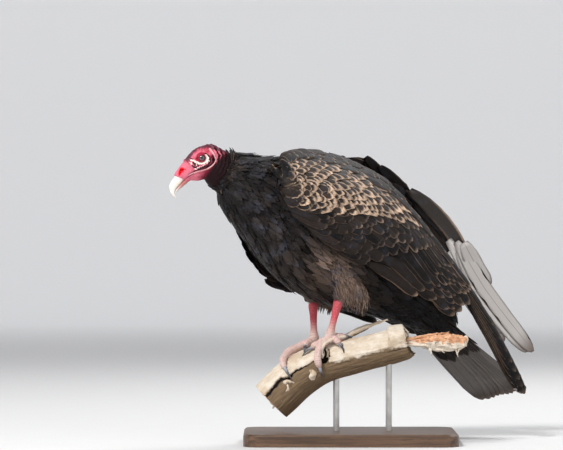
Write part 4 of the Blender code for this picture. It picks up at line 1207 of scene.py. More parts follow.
def ringRows(surface, starts, around, jitter=0.25):  # tips in rings, as far apart all the way round
    tips = []
    fine = np.linspace(0, 2 * np.pi, 240)
    for number, u in enumerate(starts):
        ring = surface.at(u + 0 * fine, fine)
        gone = walked(ring)
        step = np.interp(u, *around)
        count = max(int(gone[-1] / step), 6)
        place = (np.arange(count) + 0.5 * (number % 2) + chance.uniform(-jitter, jitter, count)) / count
        turn = np.interp(np.mod(place, 1.0) * gone[-1], gone, fine)
        tips.append(joined(u + chance.uniform(-0.3, 0.3, count) * (starts[1] - starts[0]), turn))
    return np.concatenate(tips)


def evenSteps(surface, v, low, high, step):  # places along a surface that lie as far apart as the step says
    fine = np.linspace(low, high, 400)
    line = surface.at(fine, v + 0 * fine)
    gone = walked(line)
    if not callable(step):
        return np.interp(np.arange(step * 0.5, gone[-1], step), gone, fine)
    marks, here = [], 0.0
    while here < gone[-1]:
        marks.append(np.interp(here, gone, fine))
        here += step(marks[-1])
    return np.array(marks)


bodyCoat = {"step": ((0, 0.8, 2, 5, 9), (5.0, 6.8, 9.0, 10.5, 9)),  # along the trunk, from the neck
            "around": ((0, 0.8, 2, 5, 9), (4.6, 6.0, 7.6, 9.6, 9)),
            "length": ((0, 0.6, 2, 5, 8, 9), (17, 24, 40, 48, 50, 44)),
            "half": ((0, 0.6, 2, 5, 8, 9), (3.0, 4.2, 5.8, 7.4, 7.6, 7)),
            "thigh": ((-5, 95), 75, 62), "flank": ((8, 134), 40, 32)}  # places with browner feathers


def trunkCoat():  # tips, sizes, swing and looks of the feathers round the trunk
    rows = evenSteps(trunkSurface, 0.0, 0.03, 9.0, lambda u: float(np.interp(u, *bodyCoat["step"])))
    tips = ringRows(trunkSurface, rows, bodyCoat["around"])
    u = tips[:, 0]
    length = np.interp(u, *bodyCoat["length"]) * chance.uniform(0.88, 1.12, len(u))
    half = np.interp(u, *bodyCoat["half"]) * chance.uniform(0.88, 1.12, len(u))
    stays = clearOfWings(tips, trunkSurface, length)
    tips, length, half = kept(tips, length, half, where=stays)
    u = tips[:, 0]
    ruff = 1 - ease(0.3, 1.3, u)
    light = chance.random(len(u)) ** 3
    here = toBird(trunkSurface.at(*tips.T))
    x, y, z = here.T
    thigh, flank = (mound(x, z, *bodyCoat[title]) for title in ("thigh", "flank"))
    flank = flank * ease(10, 40, np.abs(y))
    clumpAndSheen = 1.6 * ripple(here, 26.0, 44)
    thigh = np.maximum(thigh, flank)
    # painted shade darkens the belly's feathers, away from the flank, and painted sheen brightens the feathers on
    # the clumps
    bellyShade = 1 - 0.65 * ease(165, 85, z) * (1 - flank)
    tint = chance.uniform(0.8, 1.2, len(u)) * (1 + 0.4 * ruff) * (1 + 0.5 * clumpAndSheen) * (1 + 1.3 * flank) * bellyShade
    look = {"tint": tint,
            "fringe": 0.02 + 0.10 * light + 0.3 * light * ruff,
            "brown": np.clip(0.15 * chance.random(len(u)) + ruff * (0.08 + 0.35 * light) + 0.75 * thigh, 0, 1)}
    swing = chance.normal(0, 0.17 + 0.1 * ruff, len(u)) + 0.3 * ripple(here, 31.0, 9)
    look["rise"] = 0.3 + 1.2 * clumpAndSheen * (1 - ruff) * (1 - 0.6 * flank)
    half, length = half * (1 - 0.5 * flank), length * (1 + 0.15 * flank)
    return tips, length, half, swing, look


def coatOver(surface, tips, length, half, swing, look, where, form, lift, **more):  # the feathers of one region
    look = {title: numbers[where] for title, numbers in look.items()}
    lift = (lift[0], look.pop("rise", lift[1]))
    return layVanes(surface, tips[where], alongMap, length[where], half[where], form, lift=lift, swing=swing[where],
                    look=look, **more)


coat = trunkCoat()
part = np.digitize(coat[0][:, 0], (2.6, 4.6))
for number, name in enumerate(("coat_breast", "coat_middle", "coat_rear")):
    layers, where = [] if number else [ruffCoat()], part == number
    curl = chance.uniform(-0.4, 0.9, int(where.sum()))
    layers.append(coatOver(trunkSurface, *coat, where, "soft", (-3.0, 0.3), camber=0.10, fray=0.09, thick=0.2,
                           curl=curl))
    coatPiece(name, layers, "plumage", "trunk", "neck")


# Thighs

def thighSurface(side):  # the face that the thigh's feathers lie on
    return Surface(lambda u, v: fromBird(thighPoints(side, u, v)), (1.5, 0.0), birdTurn @ (1, 0, 0),
                   ((0, 4), (0, 2 * np.pi), mapPart["lower" if side == "left" else "upper"]))


def thighCoat(side):  # soft feathers, and below them long hair-like ones that hang ragged over the shank
    surface = thighSurface(side)
    rows = evenSteps(surface, 1.0, 0.2, 3.95, 4.4)
    tips = ringRows(surface, rows, ((0, 2, 3, 4), (6.5, 3.6, 2.6, 2.2)), jitter=0.45)
    u = tips[:, 0]
    length = np.interp(u, (0, 2, 4), (36, 34, 27)) * chance.uniform(0.7, 1.25, len(u))
    half = np.interp(u, (0, 1.5, 2.2, 4), (5.0, 2.4, 1.5, 0.9)) * chance.uniform(0.7, 1.3, len(u))
    stays = clearOfWings(tips, surface, length)
    tips, length, half = kept(tips, length, half, where=stays)
    u = tips[:, 0]
    low = 0.25 + 0.75 * ease(-0.2, 2.4, u)
    look = {"tint": chance.uniform(0.75, 1.3, len(u)) * (1 + 3.4 * low),
            "fringe": 0.02 + 0.10 * low * chance.random(len(u)),
            "brown": np.clip(0.35 + 0.75 * low * chance.uniform(0.6, 1.1, len(u)), 0, 1)}
    swing = chance.normal(0, 0.2, len(u)) + 0.25 * ripple(toBird(surface.at(*tips.T)), 24.0, 61)
    coat = tips, length, half, swing, look
    behind = ease(-0.2, 0.7, -np.cos(tips[:, 1]))
    curl = chance.uniform(-0.5, 3.0, len(u)) * low + chance.uniform(2.0, 13.0, len(u)) * behind * ease(1.6, 3.0, u)
    return [coatOver(surface, *coat, u <= 1.6, "soft", (-3.5, 0.8), camber=0.1, thick=0.3, curl=curl[u <= 1.6]),
            coatOver(surface, *coat, u > 1.6, "plume", (-2.6, 0.6), camber=0.2, thick=0.35, fray=0.1,
                     curl=curl[u > 1.6])]


layers = [layer for side in wingShape for layer in thighCoat(side)]
coatPiece("coat_thighs", layers, "plumage", "thigh_left", "thigh_right")
print("body plumage made")


# Wings

wingEnds = {
    "left": {"coverts": ((0, 0.2, 0.42, 0.5, 0.6, 0.8, 1), (0.9, 1.15, 2.15, 2.6, 3.1, 3.6, 4.05)),
             "greater": ((0, 0.1, 0.3, 0.42, 0.6, 0.8, 1), (2.35, 2.55, 2.95, 3.3, 3.65, 3.95, 4.2)),
             "secondaries": (4.0, 4.75), "primaries": [
        (4.95 + 1.03 * (k / 8) ** 0.8, 0.92 - 0.76 * k / 8, 195, 13.5) for k in range(9)]},
    "right": {"coverts": ((0, 0.2, 0.42, 0.6, 0.8, 1), (0.9, 1.15, 1.9, 2.5, 2.95, 3.3)),
              "greater": ((0, 0.1, 0.3, 0.42, 0.6, 0.8, 1), (2.2, 2.4, 2.7, 2.95, 3.2, 3.4, 3.6)),
              "secondaries": (3.9, 4.56), "primaries": [
        (5.04, 1.0, 92, 15), (5.34, 0.80, 135, 16), (5.30, 0.62, 150, 15), (5.40, 0.46, 165, 14),
        (5.46, 0.30, 175, 13), (6.12, 0.55, 235, 14), (6.0, 0.22, 235, 12)]}}


def bladeBeyond(side, u, v, inner=False):  # a wing's face: straight on past its end, rolled round its front
    inside = np.clip(u, 0.03, 5.97)
    slope = (bladePoints(side, inside + 0.02, v) - bladePoints(side, inside - 0.02, v)) / 0.04
    normal, deep = bladeNormal(side, inside, v), (armDepth(inside) - 0.5)[..., None]
    here = bladePoints(side, inside, v) - normal * deep * inner
    past, reach = (u - inside)[..., None], np.linalg.norm(slope, axis=-1, keepdims=True)
    turn = np.clip(-past * reach / deep, 0, 2.6)
    roll = np.sin(turn) * slope / reach + (1 - np.cos(turn)) * normal * (-0.35 if inner else 1)
    return here + slope * np.maximum(past, 0) - deep * roll


def wingSurface(side, inner=False):  # the outer face, or the one towards the body
    def at(u, v):
        u, v = np.broadcast_arrays(np.asarray(u, float), np.asarray(v, float))
        return fromBird(bladeBeyond(side, u, v, inner))
    away = wingSign[side] * (-1.0 if inner else 1.0)
    return Surface(at, (np.float64(2.0), np.float64(0.6)), birdTurn @ (0, away, 0),
                   ((0, 6.01), (-0.3, 1.3), mapPart["upper" if inner else "lower"]), (-0.01, 1.12))


def alongWing(surface, lead=0.0):  # mostly parallel to the top edge, as the long feathers lie in a folded wing
    def flow(u, v, down):
        top = frameOf(surface.at, np.clip(u + lead, 0.05, 5.95), 1.0 + 0 * v)[1]
        return 0.72 * unit(top) + 0.28 * unit(down)
    return flow


def wingLine(low, high, v):  # where a row of tips crosses the wing
    return low + (high - low) * np.clip(v, 0.001, 1) ** 0.85


def rowsBehind(surface, ends, back, spacing):  # tips at even gaps on the line that lies this far before the ends
    fine = np.linspace(0.01, 0.962, 120)
    edge = np.interp(fine, *ends) - back
    line = surface.at(edge, fine)
    gone = walked(line)
    at = np.arange(chance.uniform(0.2, 0.8) * spacing, gone[-1], spacing)
    at = at + chance.normal(0, spacing * 0.14, len(at))
    return joined(np.interp(at, gone, edge), np.interp(at, gone, fine))


quills = {
    "tertials": {"lift": (-1.5, 2.0), "camber": 0.10, "fray": 0.03},
    "greater": {"lift": (-3.4, 0.1), "lean": -0.05, "camber": 0.07, "thick": 0.5, "fray": 0.04},
    "steps": {"lift": (-4.0, -0.3), "lean": -0.08, "camber": 0.07, "thick": 0.5, "fray": 0.03},
    "secondaries": {"lift": (-4.4, -0.8), "lean": -0.10, "camber": 0.08, "thick": 0.7, "fray": 0.02},
    "primaries": {"lift": (-5.2, -2.4), "lean": -0.07, "camber": 0.05, "thick": 0.75, "fray": 0.02}}
tertialRows = ((0.4, -0.6, 16, 44, 9), (1.2, -0.25, 13, 58, 8.5), (2.0, 0.1, 10, 78, 8.5), (2.5, 0.35, 8, 96, 9),
               (3.0, 0.55, 6, 110, 10))  # start, end past the coverts, how many, length, half width
covertForms = {
    "left": {"apart": 12.0, "row": 0.23, "length": (25, 39, 57, 64), "half": (6.6, 8.4, 9.5, 9.0)},
    "right": {"apart": 14.5, "row": 0.19, "length": (24, 36, 52, 60), "half": (6.8, 9.2, 11.0, 10.0)}}


def wingCoverts(side, surface):  # small fringed feathers, in rows that follow the line where they end
    ends, form = wingEnds[side]["coverts"], covertForms[side]
    tips = np.concatenate([rowsBehind(surface, ends, back, form["apart"])
                           for back in np.arange(0, 3.9, form["row"])])
    tips = tips[tips[:, 0] > 0.02]
    tips[:, 0] += chance.normal(0, 0.035, len(tips))
    u, v = tips.T
    count = len(u)
    grow = chance.uniform(0.85, 1.15, count)
    length = np.interp(u, (0, 1, 2.5, 4), form["length"]) * grow
    half = np.interp(u, (0, 1, 2.5, 4), form["half"]) * grow
    warm = ease(0.15, 0.35, v) * (1 - ease(0.75, 1.0, v)) * ease(0.5, 1.5, u)
    edge = 1 - ease(0.0, 0.9, np.interp(v, *ends) - u)
    look = {"tint": chance.uniform(0.75, 1.3, count),
            "fringe": np.clip(0.15 + 0.4 * chance.random(count) + 0.55 * warm + 0.15 * edge, 0, 1),
            "brown": np.clip(chance.uniform(0.0, 0.25, count) + 0.4 * warm, 0, 1),
            "soft": 0.4 + 1.5 * warm * chance.random(count) ** 0.6}
    return layVanes(surface, tips, alongWing(surface, 0.7), length, half, "contour", lift=(-3.2, 1.0),
                    swing=chance.normal(0, 0.17, count), curl=chance.uniform(-0.3, 1.3, count),
                    camber=0.10, thick=0.35, fray=0.09, look=look)


def wingGreater(side, surface):  # longer dark feathers, whose tips step down over the flight feathers
    ends, above = wingEnds[side]["greater"], wingEnds[side]["coverts"]
    tips = np.concatenate([rowsBehind(surface, ends, back, 11.0) for back in np.arange(0, 1.6, 0.19)])
    tips = tips[tips[:, 0] > np.interp(tips[:, 1], *above) - 0.05]
    tips[:, 0] += chance.normal(0, 0.04, len(tips))
    u, v = tips.T
    count = len(u)
    look = looks(count, tint=(0.7, 1.2))
    look["fringe"] = np.clip(0.15 + 0.6 * chance.random(count) * ease(0.1, 0.4, v), 0, 1)
    look.update(looks(count, brown=(0.0, 0.45), soft=(0.0, 0.5)))
    half = 8.8 * chance.uniform(0.85, 1.15, count)
    return layVanes(surface, tips, alongWing(surface, 0.5), 62 + 22 * v, half, "flight", look=look,
                    swing=chance.normal(0, 0.09, count), **quills["greater"])


def wingTertials(side, surface):  # long feathers with pale thin rims, parallel to the top edge
    high = wingEnds[side]["coverts"][1][-1]
    tips, length, half = [], [], []
    for row, (start, past, count, long, wide) in enumerate(tertialRows):
        u = np.linspace(start, high + past, count) + chance.normal(0, 0.05, count)
        tips.append(joined(u, 0.975 - 0.036 * row - 0.03 * chance.random(count)))
        length.append(long * chance.uniform(0.9, 1.1, count))
        half.append(wide * chance.uniform(0.9, 1.1, count))
    tips, length, half = (np.concatenate(part) for part in (tips, length, half))
    count = len(tips)
    look = looks(count, tint=(0.8, 1.2), fringe=(0.35, 1.0), brown=(0.0, 0.3), soft=(0.0, 0.25))
    return layVanes(surface, tips, alongWing(surface), length, half, "flight", look=look,
                    swing=chance.normal(0, 0.06, count), **quills["tertials"])


def wingSteps(side, surface, flow):  # dark feathers that step down between the coverts and the last tips
    low, high = wingEnds[side]["secondaries"]
    tips, across = [], 17
    for number, back in enumerate((0.66, 0.42, 0.18)):
        v = (np.arange(across) + 0.33 * number + 0.2) / across + chance.normal(0, 0.01, across)
        u = wingLine(low, high, v) - back * (1 - 0.35 * v) + chance.normal(0, 0.05, across)
        tips.append(joined(u, v))
    tips = np.concatenate(tips)
    tips = tips[tips[:, 1] < 0.93]
    count = len(tips)
    look = looks(count, tint=(0.7, 1.15), fringe=(0.3, 0.95), brown=(0.0, 0.25), soft=(0.0, 0.2))
    return layVanes(surface, tips, flow, 120, 9.5, "flight", swing=chance.normal(0, 0.05, count), look=look,
                    **quills["steps"])


def wingSecondaries(side, surface, flow):  # the last tips, each second one a little shorter
    low, high = wingEnds[side]["secondaries"]
    count = 15
    v = np.linspace(0.03, 0.93, count)
    u = wingLine(low, high, v) - 0.16 * (np.arange(count) % 2) + chance.normal(0, 0.03, count)
    look = looks(count, tint=(0.8, 1.1), fringe=(0.5, 0.95), brown=(0.05, 0.3))
    look.update(silver=0.04, soft=0.08)
    if side == "right":  # only the last ones keep a painted light; the others are darkened as painted shade, and the last ones' rims are soft
        look["soft"] = 0.7 * ease(0.80, 0.93, v)
        look["tint"] *= 0.5 + 0.7 * ease(0.86, 0.93, v)
    return layVanes(surface, joined(u, v), flow, 140 + 20 * v, 12.5, "flight", look=look,
                    swing=chance.normal(0, 0.03, count), **quills["secondaries"])


def wingPrimaries(side, surface, flow):  # the long quills at the wing's end, silver beneath
    u, v, length, half = np.array(wingEnds[side]["primaries"], float).T
    count = len(u)
    look = {**looks(count, tint=(0.85, 1.1), fringe=(0.3, 0.8), brown=(0.0, 0.25)), "silver": 0.95}
    look["tint"] *= 0.7 if side == "left" else 1.0
    return layVanes(surface, joined(u, v), flow, length, half, "flight", look=look,
                    swing=chance.normal(0, 0.01, count), **quills["primaries"])


def wingLining(side):  # small dark feathers on the face towards the body
    surface = wingSurface(side, inner=True)
    tips, length, half, across = [], [], [], 13
    for share in np.arange(0.1, 1.001, 0.06):
        v = np.linspace(0.04, 0.90, across) + chance.normal(0, 0.012, across)
        tips.append(joined(np.interp(v, *wingEnds[side]["greater"]) * share, v))
        length.append(np.full(across, 26 + 26 * share))
        half.append(np.full(across, 9 + 5 * share))
    tips, length, half = (np.concatenate(part) for part in (tips, length, half))
    look = looks(len(tips), tint=(0.8, 1.1), fringe=(0.05, 0.2), brown=(0.1, 0.4))
    return layVanes(surface, tips, alongWing(surface), length, half, "contour", lift=(-2.0, 0.6), camber=0.08,
                    look=look)


for side in wingShape:
    surface = wingSurface(side)
    flow = alongWing(surface)
    layers = [make(side, surface) for make in (wingCoverts, wingGreater, wingTertials)] + [wingLining(side)]
    coatPiece(f"coat_{side}_coverts", layers, "plumage", f"wing_{side}_coverts")
    for part, makers in (("secondaries", (wingSecondaries, wingSteps)), ("primaries", (wingPrimaries,))):
        coatPiece(f"vanes_{side}_{part}", [make(side, surface, flow) for make in makers], "flight_feathers",
                  f"wing_{side}_{part}")
print("wings made")


# Tail

tailSurfaces = [Surface(lambda u, v: fromBird(tailPoints(u, v)), (0.5, 0.0), way,
                        ((-0.4, 1.05), (-1.3, 1.3), region))
                for way, region in (((0, 0, 1), mapPart["upper"]), ((0, 0, -1), mapPart["lower"]))]


def tailVanes():  # twelve quills in a fan
    across = np.linspace(-0.90, 0.90, 12)
    tips = joined(1.0 - 0.05 * np.abs(across) ** 1.6 + chance.normal(0, 0.006, 12), across)
    look = {**looks(12, tint=(0.85, 1.1), brown=(0.2, 0.5)), "fringe": 0.45, "silver": 0.25}
    return layVanes(tailSurfaces[0], tips, alongMap, 185, 15.5, "flight", lift=(-1.5, 1.4 - 2.6 * np.abs(across)),
                    lean=-0.05 * np.sign(across), camber=0.05, thick=0.8, fray=0.02, look=look)


def tailCoverts(surface, rows):  # short feathers in rows over the fan's root
    tips = [joined(row + chance.normal(0, 0.012, 9), np.linspace(-0.95, 0.95, 9)) for row in rows]
    tips = np.concatenate(tips)
    count = len(tips)
    look = looks(count, tint=(0.8, 1.15), fringe=(0.1, 0.4), brown=(0.1, 0.4))
    return layVanes(surface, tips, alongMap, 62, 12, "contour", lift=(-1.0, 3.2), camber=0.12,
                    swing=chance.normal(0, 0.08, count), look=look)


coatPiece("vanes_tail", [tailVanes()], "flight_feathers", "tail")
coatRows = (0.10, 0.2, 0.3, 0.40), (0.12, 0.22, 0.34, 0.46)  # above and below the fan
coatPiece("coat_tail", [tailCoverts(*pair) for pair in zip(tailSurfaces, coatRows)], "plumage", "tail")
print("tail made")


# The perch: a sleeve of weathered bark, lifted slabs and strips, and the torn core

barkShape = {
    "slabEdge": [(-150, 66), (-130, 85), (-118, 100), (-112, 106), (-98, 108), (-89, 117), (-60, 131), (-47, 137),
                 (-40, 139)],
    "blockEdge": [(-40, 128), (-25, 128.5), (20, 140), (60, 151), (100, 154)],
    "crevice": ([-150, -134, -98, -89, -60, -45], [9, 8, 6.5, 3.0, 1.6, 1.0]),
    "hole": (-40.5, 141.0, 7.0, 13.0), "crack": [(-12.5, 160), (-12, 152), (-9.8, 145.5)],
    "lip": (61, 90, 6.5), "start": -126.0, "end": 92.5,
    "rim": ((0.72, 2.0), (0.66, 13.0)),  # how the torn end turns inwards: size, depth
    "sawn": ((0.02, 0.6), (0.3, 0.5), (0.6, 0.45), (0.9, 0.35), (0.965, 0.0), (0.9, -1.0))}


def barkRelief(base, degrees):  # height over the smooth round, paleness that is partly painted light, and depth of painted shadow
    x, z = base[..., 0], base[..., 2]
    arc, rise = degrees * 0.5, np.cos(np.radians(degrees))
    near = ease(-0.15, 0.25, np.sin(np.radians(degrees)))
    grain = joined(x * 0.10, arc * 0.9, 0 * x)
    fibre = ripple(grain, 3.2, 31, 16)
    ridge = ripple(joined(x * 0.16, arc * 0.6, 0 * x), 9.0, 32, 12)
    broad = ripple(base, 42.0, 33, 8)
    lift = 0.30 * fibre + 0.65 * ridge * ease(-1.5, 1.5, ridge) + 0.7 * broad
    wobble = 1.6 * ripple(base, 9.0, 34) + 0.8 * ripple(base, 3.5, 35)
    slab = z - np.interp(x, *np.array(barkShape["slabEdge"], float).T) + 0.5 * wobble
    block = z - np.interp(x, *np.array(barkShape["blockEdge"], float).T) + wobble
    left = 1 - ease(-48.5, -45.5, x + 0.4 * wobble)
    right = ease(-34.0, -32.3, x + 0.5 * wobble)
    over = near * (left * ease(-0.8, 0.8, slab) + right * ease(-3.0, 3.0, block)) + (1 - near) * 0.6
    over = np.maximum(over, ease(0.55, 0.8, rise))
    lift += 1.5 * over - 1.2
    wide = np.interp(x, *barkShape["crevice"])
    gap = near * left * np.exp(-((slab + wide * 0.5) / (wide * 0.5)) ** 4)
    lift -= gap * np.minimum(wide, 5.0)
    holeX, holeZ, holeWide, holeHigh = barkShape["hole"]
    fromHole = np.hypot((x - holeX) / holeWide, (z - holeZ) / holeHigh) + 0.05 * wobble
    hole = near * (1 - ease(0.75, 1.1, fromHole))
    lift -= 9.0 * hole
    gapToCrack = lineGap(joined(x, z).reshape(-1, 2), barkShape["crack"]).reshape(x.shape)
    crack = near * (1 - ease(0.3, 1.1, gapToCrack))
    lift -= 1.8 * crack
    start, end, high = barkShape["lip"]
    lip = ease(start, start + 1.5, x + 0.3 * wobble) * ease(0.25, 0.8, np.cos(np.radians(degrees - 15)))
    lift += high * lip * (1 - 0.35 * ease(end - 6, end, x))
    split = ease(1.25, 1.9, ripple(joined(x * 0.05, arc, 0 * x), 5.0, 36, 14))
    lift -= 0.9 * split
    low = ease(0.35, -0.55, rise)
    face = left * ease(-1.5, 2.0, slab) + right * ease(-8.0, 12.0, block)
    lit = np.clip(near * face + (1 - near) * (1 - low), 0, 1)
    lit = np.maximum(lit, ease(0.6, 0.85, rise)) * (1 - 0.9 * hole)
    groove = np.clip(gap + 1.4 * hole + crack + 0.55 * split, 0, 1)
    return lift, lit, groove


def buildBark():  # rings along the branch, lifted by the relief, up to a ragged end
    share, turn = np.linspace(0, 1, 420)[:, None], np.arange(220) * 360 / 220
    ragged = ripple(joined(np.cos(np.radians(turn)), np.sin(np.radians(turn))) * 30, 7.0, 41)
    end = barkShape["end"] + 1.6 * ragged + 1.2 * np.sign(np.sin(turn * 0.7)) - 2.0 * np.sin(np.radians(turn))
    x = barkShape["start"] + (end - barkShape["start"]) * share
    degrees = turn + 0 * x
    lift, lit, groove = barkRelief(onBranch(x, degrees, 0 * x), degrees)
    points, (quads, fans) = closedTube(onBranch(x, degrees, lift))
    # The last ring turns inwards, so that the torn end shows how thick the bark is.
    sides = len(turn)
    last = (len(share) - 1) * sides
    rim = points[last:last + sides]
    z = branchAt(np.full(sides, barkShape["end"]))[0]
    middle = joined(np.full(sides, barkShape["end"]), 0 * z, z)
    inner, deep = (middle + (rim - middle) * size - np.array([back, 0, 0]) for size, back in barkShape["rim"])
    points = np.concatenate([points[:-1], inner, deep, deep.mean(axis=0)[None]])
    a = len(points) - 1 - 2 * sides
    j = np.arange(sides)
    k = (j + 1) % sides
    more = (last + j, a + j, a + k, last + k), (a + j, a + sides + j, a + sides + k, a + k)
    quads = np.concatenate([quads] + [np.stack(part, axis=1) for part in more])
    fan = joined(a + sides + j, np.full(sides, len(points) - 1), a + sides + k)
    fans = np.concatenate([fans[:sides], fan])
    values = {"lit": np.concatenate([lit.ravel(), [0, 0], np.full(2 * sides, 0.2)]),
              "groove": np.concatenate([groove.ravel(), [0, 0], np.full(sides - 1, 0.45), np.full(sides + 1, 0.9)])}
    place = joined(x.ravel(), (degrees * 0.5).ravel())
    place = np.concatenate([place, np.zeros((len(points) - x.size, 2))])
    corners = np.concatenate([part.ravel() for part in (quads, fans)])
    mesh = facingOut(newMesh("bark", points, [quads, fans], {"bark": place[corners]}, values))
    newPiece("bark_sleeve", mesh, weatheredBark, "bark", "perch_branch")


def splinter(path, wide, thick, tip=0.15, sides=8, rough=0.25, seed=1):  # a torn sliver, thinning to its ends
    path = np.asarray(path, float)
    rows = smoothRows(path, np.linspace(0, len(path) - 1, 6 * len(path)))
    share = np.linspace(0, 1, len(rows))
    size = wide * (1 - (1 - tip) * share**1.6) * ease(-0.12, 0.10, share)
    rings = pathRings(rows, size, sides, thick / wide)
    out = unit(rings - rings.mean(axis=1, keepdims=True))
    return rings + rough * size.mean() * ripple(rings, max(wide, 1.0) * 2.2, seed)[..., None] * out


def woodPiece(name, slivers, finish, lit, groove=0.0):  # closed slivers as one piece
    shapes = [closedTube(rings) for rings in slivers]
    points, faces = together(shapes)
    corners = np.concatenate([part.ravel() for part in faces])
    if lit is None:  # rusty above, bleached below
        level = ease(157.5, 165.0, points[:, 2] + 2.5 * ripple(points, 9.0, 52))
    else:
        level = np.repeat(np.broadcast_to(np.asarray(lit, float), len(shapes)), [len(shape[0]) for shape in shapes])
    spots = joined(points[:, 0], points[:, 2] + points[:, 1])
    dark = np.clip(groove * ease(0.6, 1.6, ripple(points, 5.0, 51)), 0, 1)
    mesh = facingOut(newMesh(name, points, faces, {"bark": spots[corners]}, {"lit": level, "groove": dark}))
    newPiece(name, mesh, finish, "bark", "perch_branch")


strips = {
    "curl": ([(-44, -27, 137), (-47, -29, 148), (-42, -28, 159), (-30, -20, 166.5), (-16, -10, 169.5),
              (-8, -6, 171)], 4.2, 2.6),
    "twig": ([(-22, 4, 165), (-4, 6, 171.5), (14, 9, 181), (38, 11, 190), (61, 11, 197.5)], 6.4, 4.6),
    "twigUnder": ([(-10, 9, 164), (10, 9, 174), (30, 10, 183)], 3.0, 1.8),
    "knob": [([(-106, -29, 93), (-102, -32, 99.5), (-94, -33, 100), (-87, -32, 95.5)], 3.6, 2.6),
             ([(-100, -32, 96), (-98, -33, 91), (-100, -33, 85)], 2.8, 2.2)],
    "root": [([(-97, -31, 89), (-106, -29, 80), (-118, -26, 72), (-126, -24, 64)], 4.4, 3.0),
             ([(-106, -30, 72), (-116, -28, 64), (-124, -24, 58)], 2.6, 2.0)],
    "shard": [([(-62, -32.5, 119), (-61, -34.5, 110), (-59.5, -34.8, 102.0)], 6.4, 2.4)],
    "broken": [([(-46, -29, 154), (-43, -27, 148), (-41, -26, 141)], 2.2, 1.6),
               ([(-38, -28, 152), (-36, -27, 145), (-37, -27, 138)], 1.8, 1.4),
               ([(-34, -27, 149), (-35, -27, 141), (-33, -28, 133)], 2.0, 1.5)]}
coreShape = {
    "start": 80, "long": 107, "fine": 34,
    "x": (80, 95, 103, 115, 135, 158, 172, 182, 188),
    "middle": (160, 161, 161.5, 163, 161.8, 162, 161.5, 161.5, 163),
    "high": (3, 3.6, 5.5, 8.6, 12, 13, 11, 8.5, 4), "deep": (6, 6, 7.5, 9, 10.5, 10.5, 9, 7, 4),
    "spikes": [([(80, -4, 163), (112, -7, 170), (140, -7, 175), (158.5, -6, 178)], 4.6, 3.0),
               ([(84, 4, 160), (120, 5, 169), (150, 4, 172), (180, 2, 171.5)], 6.0, 4.6),
               ([(150, -2, 168), (170, -3, 169.5), (186, -2, 166)], 4.6, 4.0),
               ([(82, -8, 157), (104, -10, 157.5), (124, -10, 156), (134, -9, 152)], 4.2, 3.0),
               ([(122, -6, 153), (144, -7, 150), (162, -6, 149), (172, -5, 150)], 4.4, 3.4)],
    "hanging": [([(128, -9, 153), (129.5, -10, 146), (131, -9, 137)], 1.8, 1.4),
                ([(125, -8, 154), (127, -9, 149), (130, -9, 144)], 1.6, 1.2),
                ([(167, -7, 154), (170, -8, 147), (172.5, -7, 138)], 2.1, 1.6),
                ([(175, -6, 156), (173, -8, 149), (172, -7, 143)], 1.7, 1.3),
                ([(146, -8, 151), (148, -9, 147), (151, -9, 144.5)], 1.3, 1.0)],
    "knobs": [([(183, 0, 171), (187, -1, 166), (186, -2, 159)], 3.4, 3.0),
              ([(176, -4, 163), (182, -5, 160), (184, -5, 155)], 2.8, 2.4)]}


def buildCore():  # the core that the bark tore away from, in long slivers
    share, turn = np.linspace(0, 1, 130)[:, None], turns(72)
    x = coreShape["start"] + coreShape["long"] * share
    middle, high, deep = (np.interp(x, coreShape["x"], coreShape[title]) for title in ("middle", "high", "deep"))
    square = 1 + 0.12 * np.sin(2 * turn) ** 2
    base = joined(x + 0 * turn, -3 - deep * square * np.sin(turn), middle + high * square * np.cos(turn))
    jag = ripple(joined(x * 0.12 + 0 * turn, 12 * turn + 0 * x, 0 * x + 0 * turn), 3.5, 61, 14)
    rot = ripple(base, 7.0, 62)
    pits = ease(0.9, 1.5, ripple(base * (0.6, 1, 1), 6.0, 63)) * ease(0.2, -0.3, np.cos(turn))
    base = base + unit(base - joined(x[:, 0], 0 * x[:, 0] - 3, middle[:, 0])[:, None]) * (
        0.9 * jag + 1.3 * rot - 3.5 * pits)[..., None]
    core = [base] + [splinter(*spike, seed=70 + i) for i, spike in enumerate(coreShape["spikes"])]
    pick = np.random.default_rng(8)
    for i in range(coreShape["fine"]):  # fine slivers all round, their ends free
        start, angle = pick.uniform(84, 160), pick.uniform(0, 2 * np.pi)
        long = pick.uniform(14, 34)
        along = start + long * np.array([0, 0.4, 0.75, 1.0])
        fall = np.array([0, 0.4, 0.9, 1.6]) * pick.uniform(0, 1.2)
        mid, up, under = (np.interp(along, coreShape["x"], coreShape[title]) for title in ("middle", "high", "deep"))
        aside, over = -3 - (under + fall * 0.4) * math.sin(angle), mid + (up + fall) * math.cos(angle)
        line = joined(along, aside, over)
        wide, thick = pick.uniform(1.2, 2.4), pick.uniform(0.7, 1.2)
        core.append(splinter(line, wide, thick, tip=0.1, sides=6, rough=0.2, seed=90 + i))
    woodPiece("torn_core", core, tornWood, None)
    tips = coreShape["hanging"] + coreShape["knobs"]
    ends = [splinter(*part, tip=0.3, seed=130 + i) for i, part in enumerate(tips)]
    woodPiece("torn_ends", ends, tornWood, 0.0)
    start = barkShape["start"]
    z, radius, upX, upZ = (float(part[0]) for part in branchAt(np.array([start])))
    ahead = np.array([upZ, 0, -upX])
    around = np.cos(turn)[:, None] * np.array([upX, 0, upZ]) - np.sin(turn)[:, None] * np.array([0, 1, 0])
    disc = [np.array([start, 0, z]) - ahead * level + radius * out * around for out, level in barkShape["sawn"]]
    woodPiece("sawn_end", [np.stack(disc)], tornWood, 0.65)


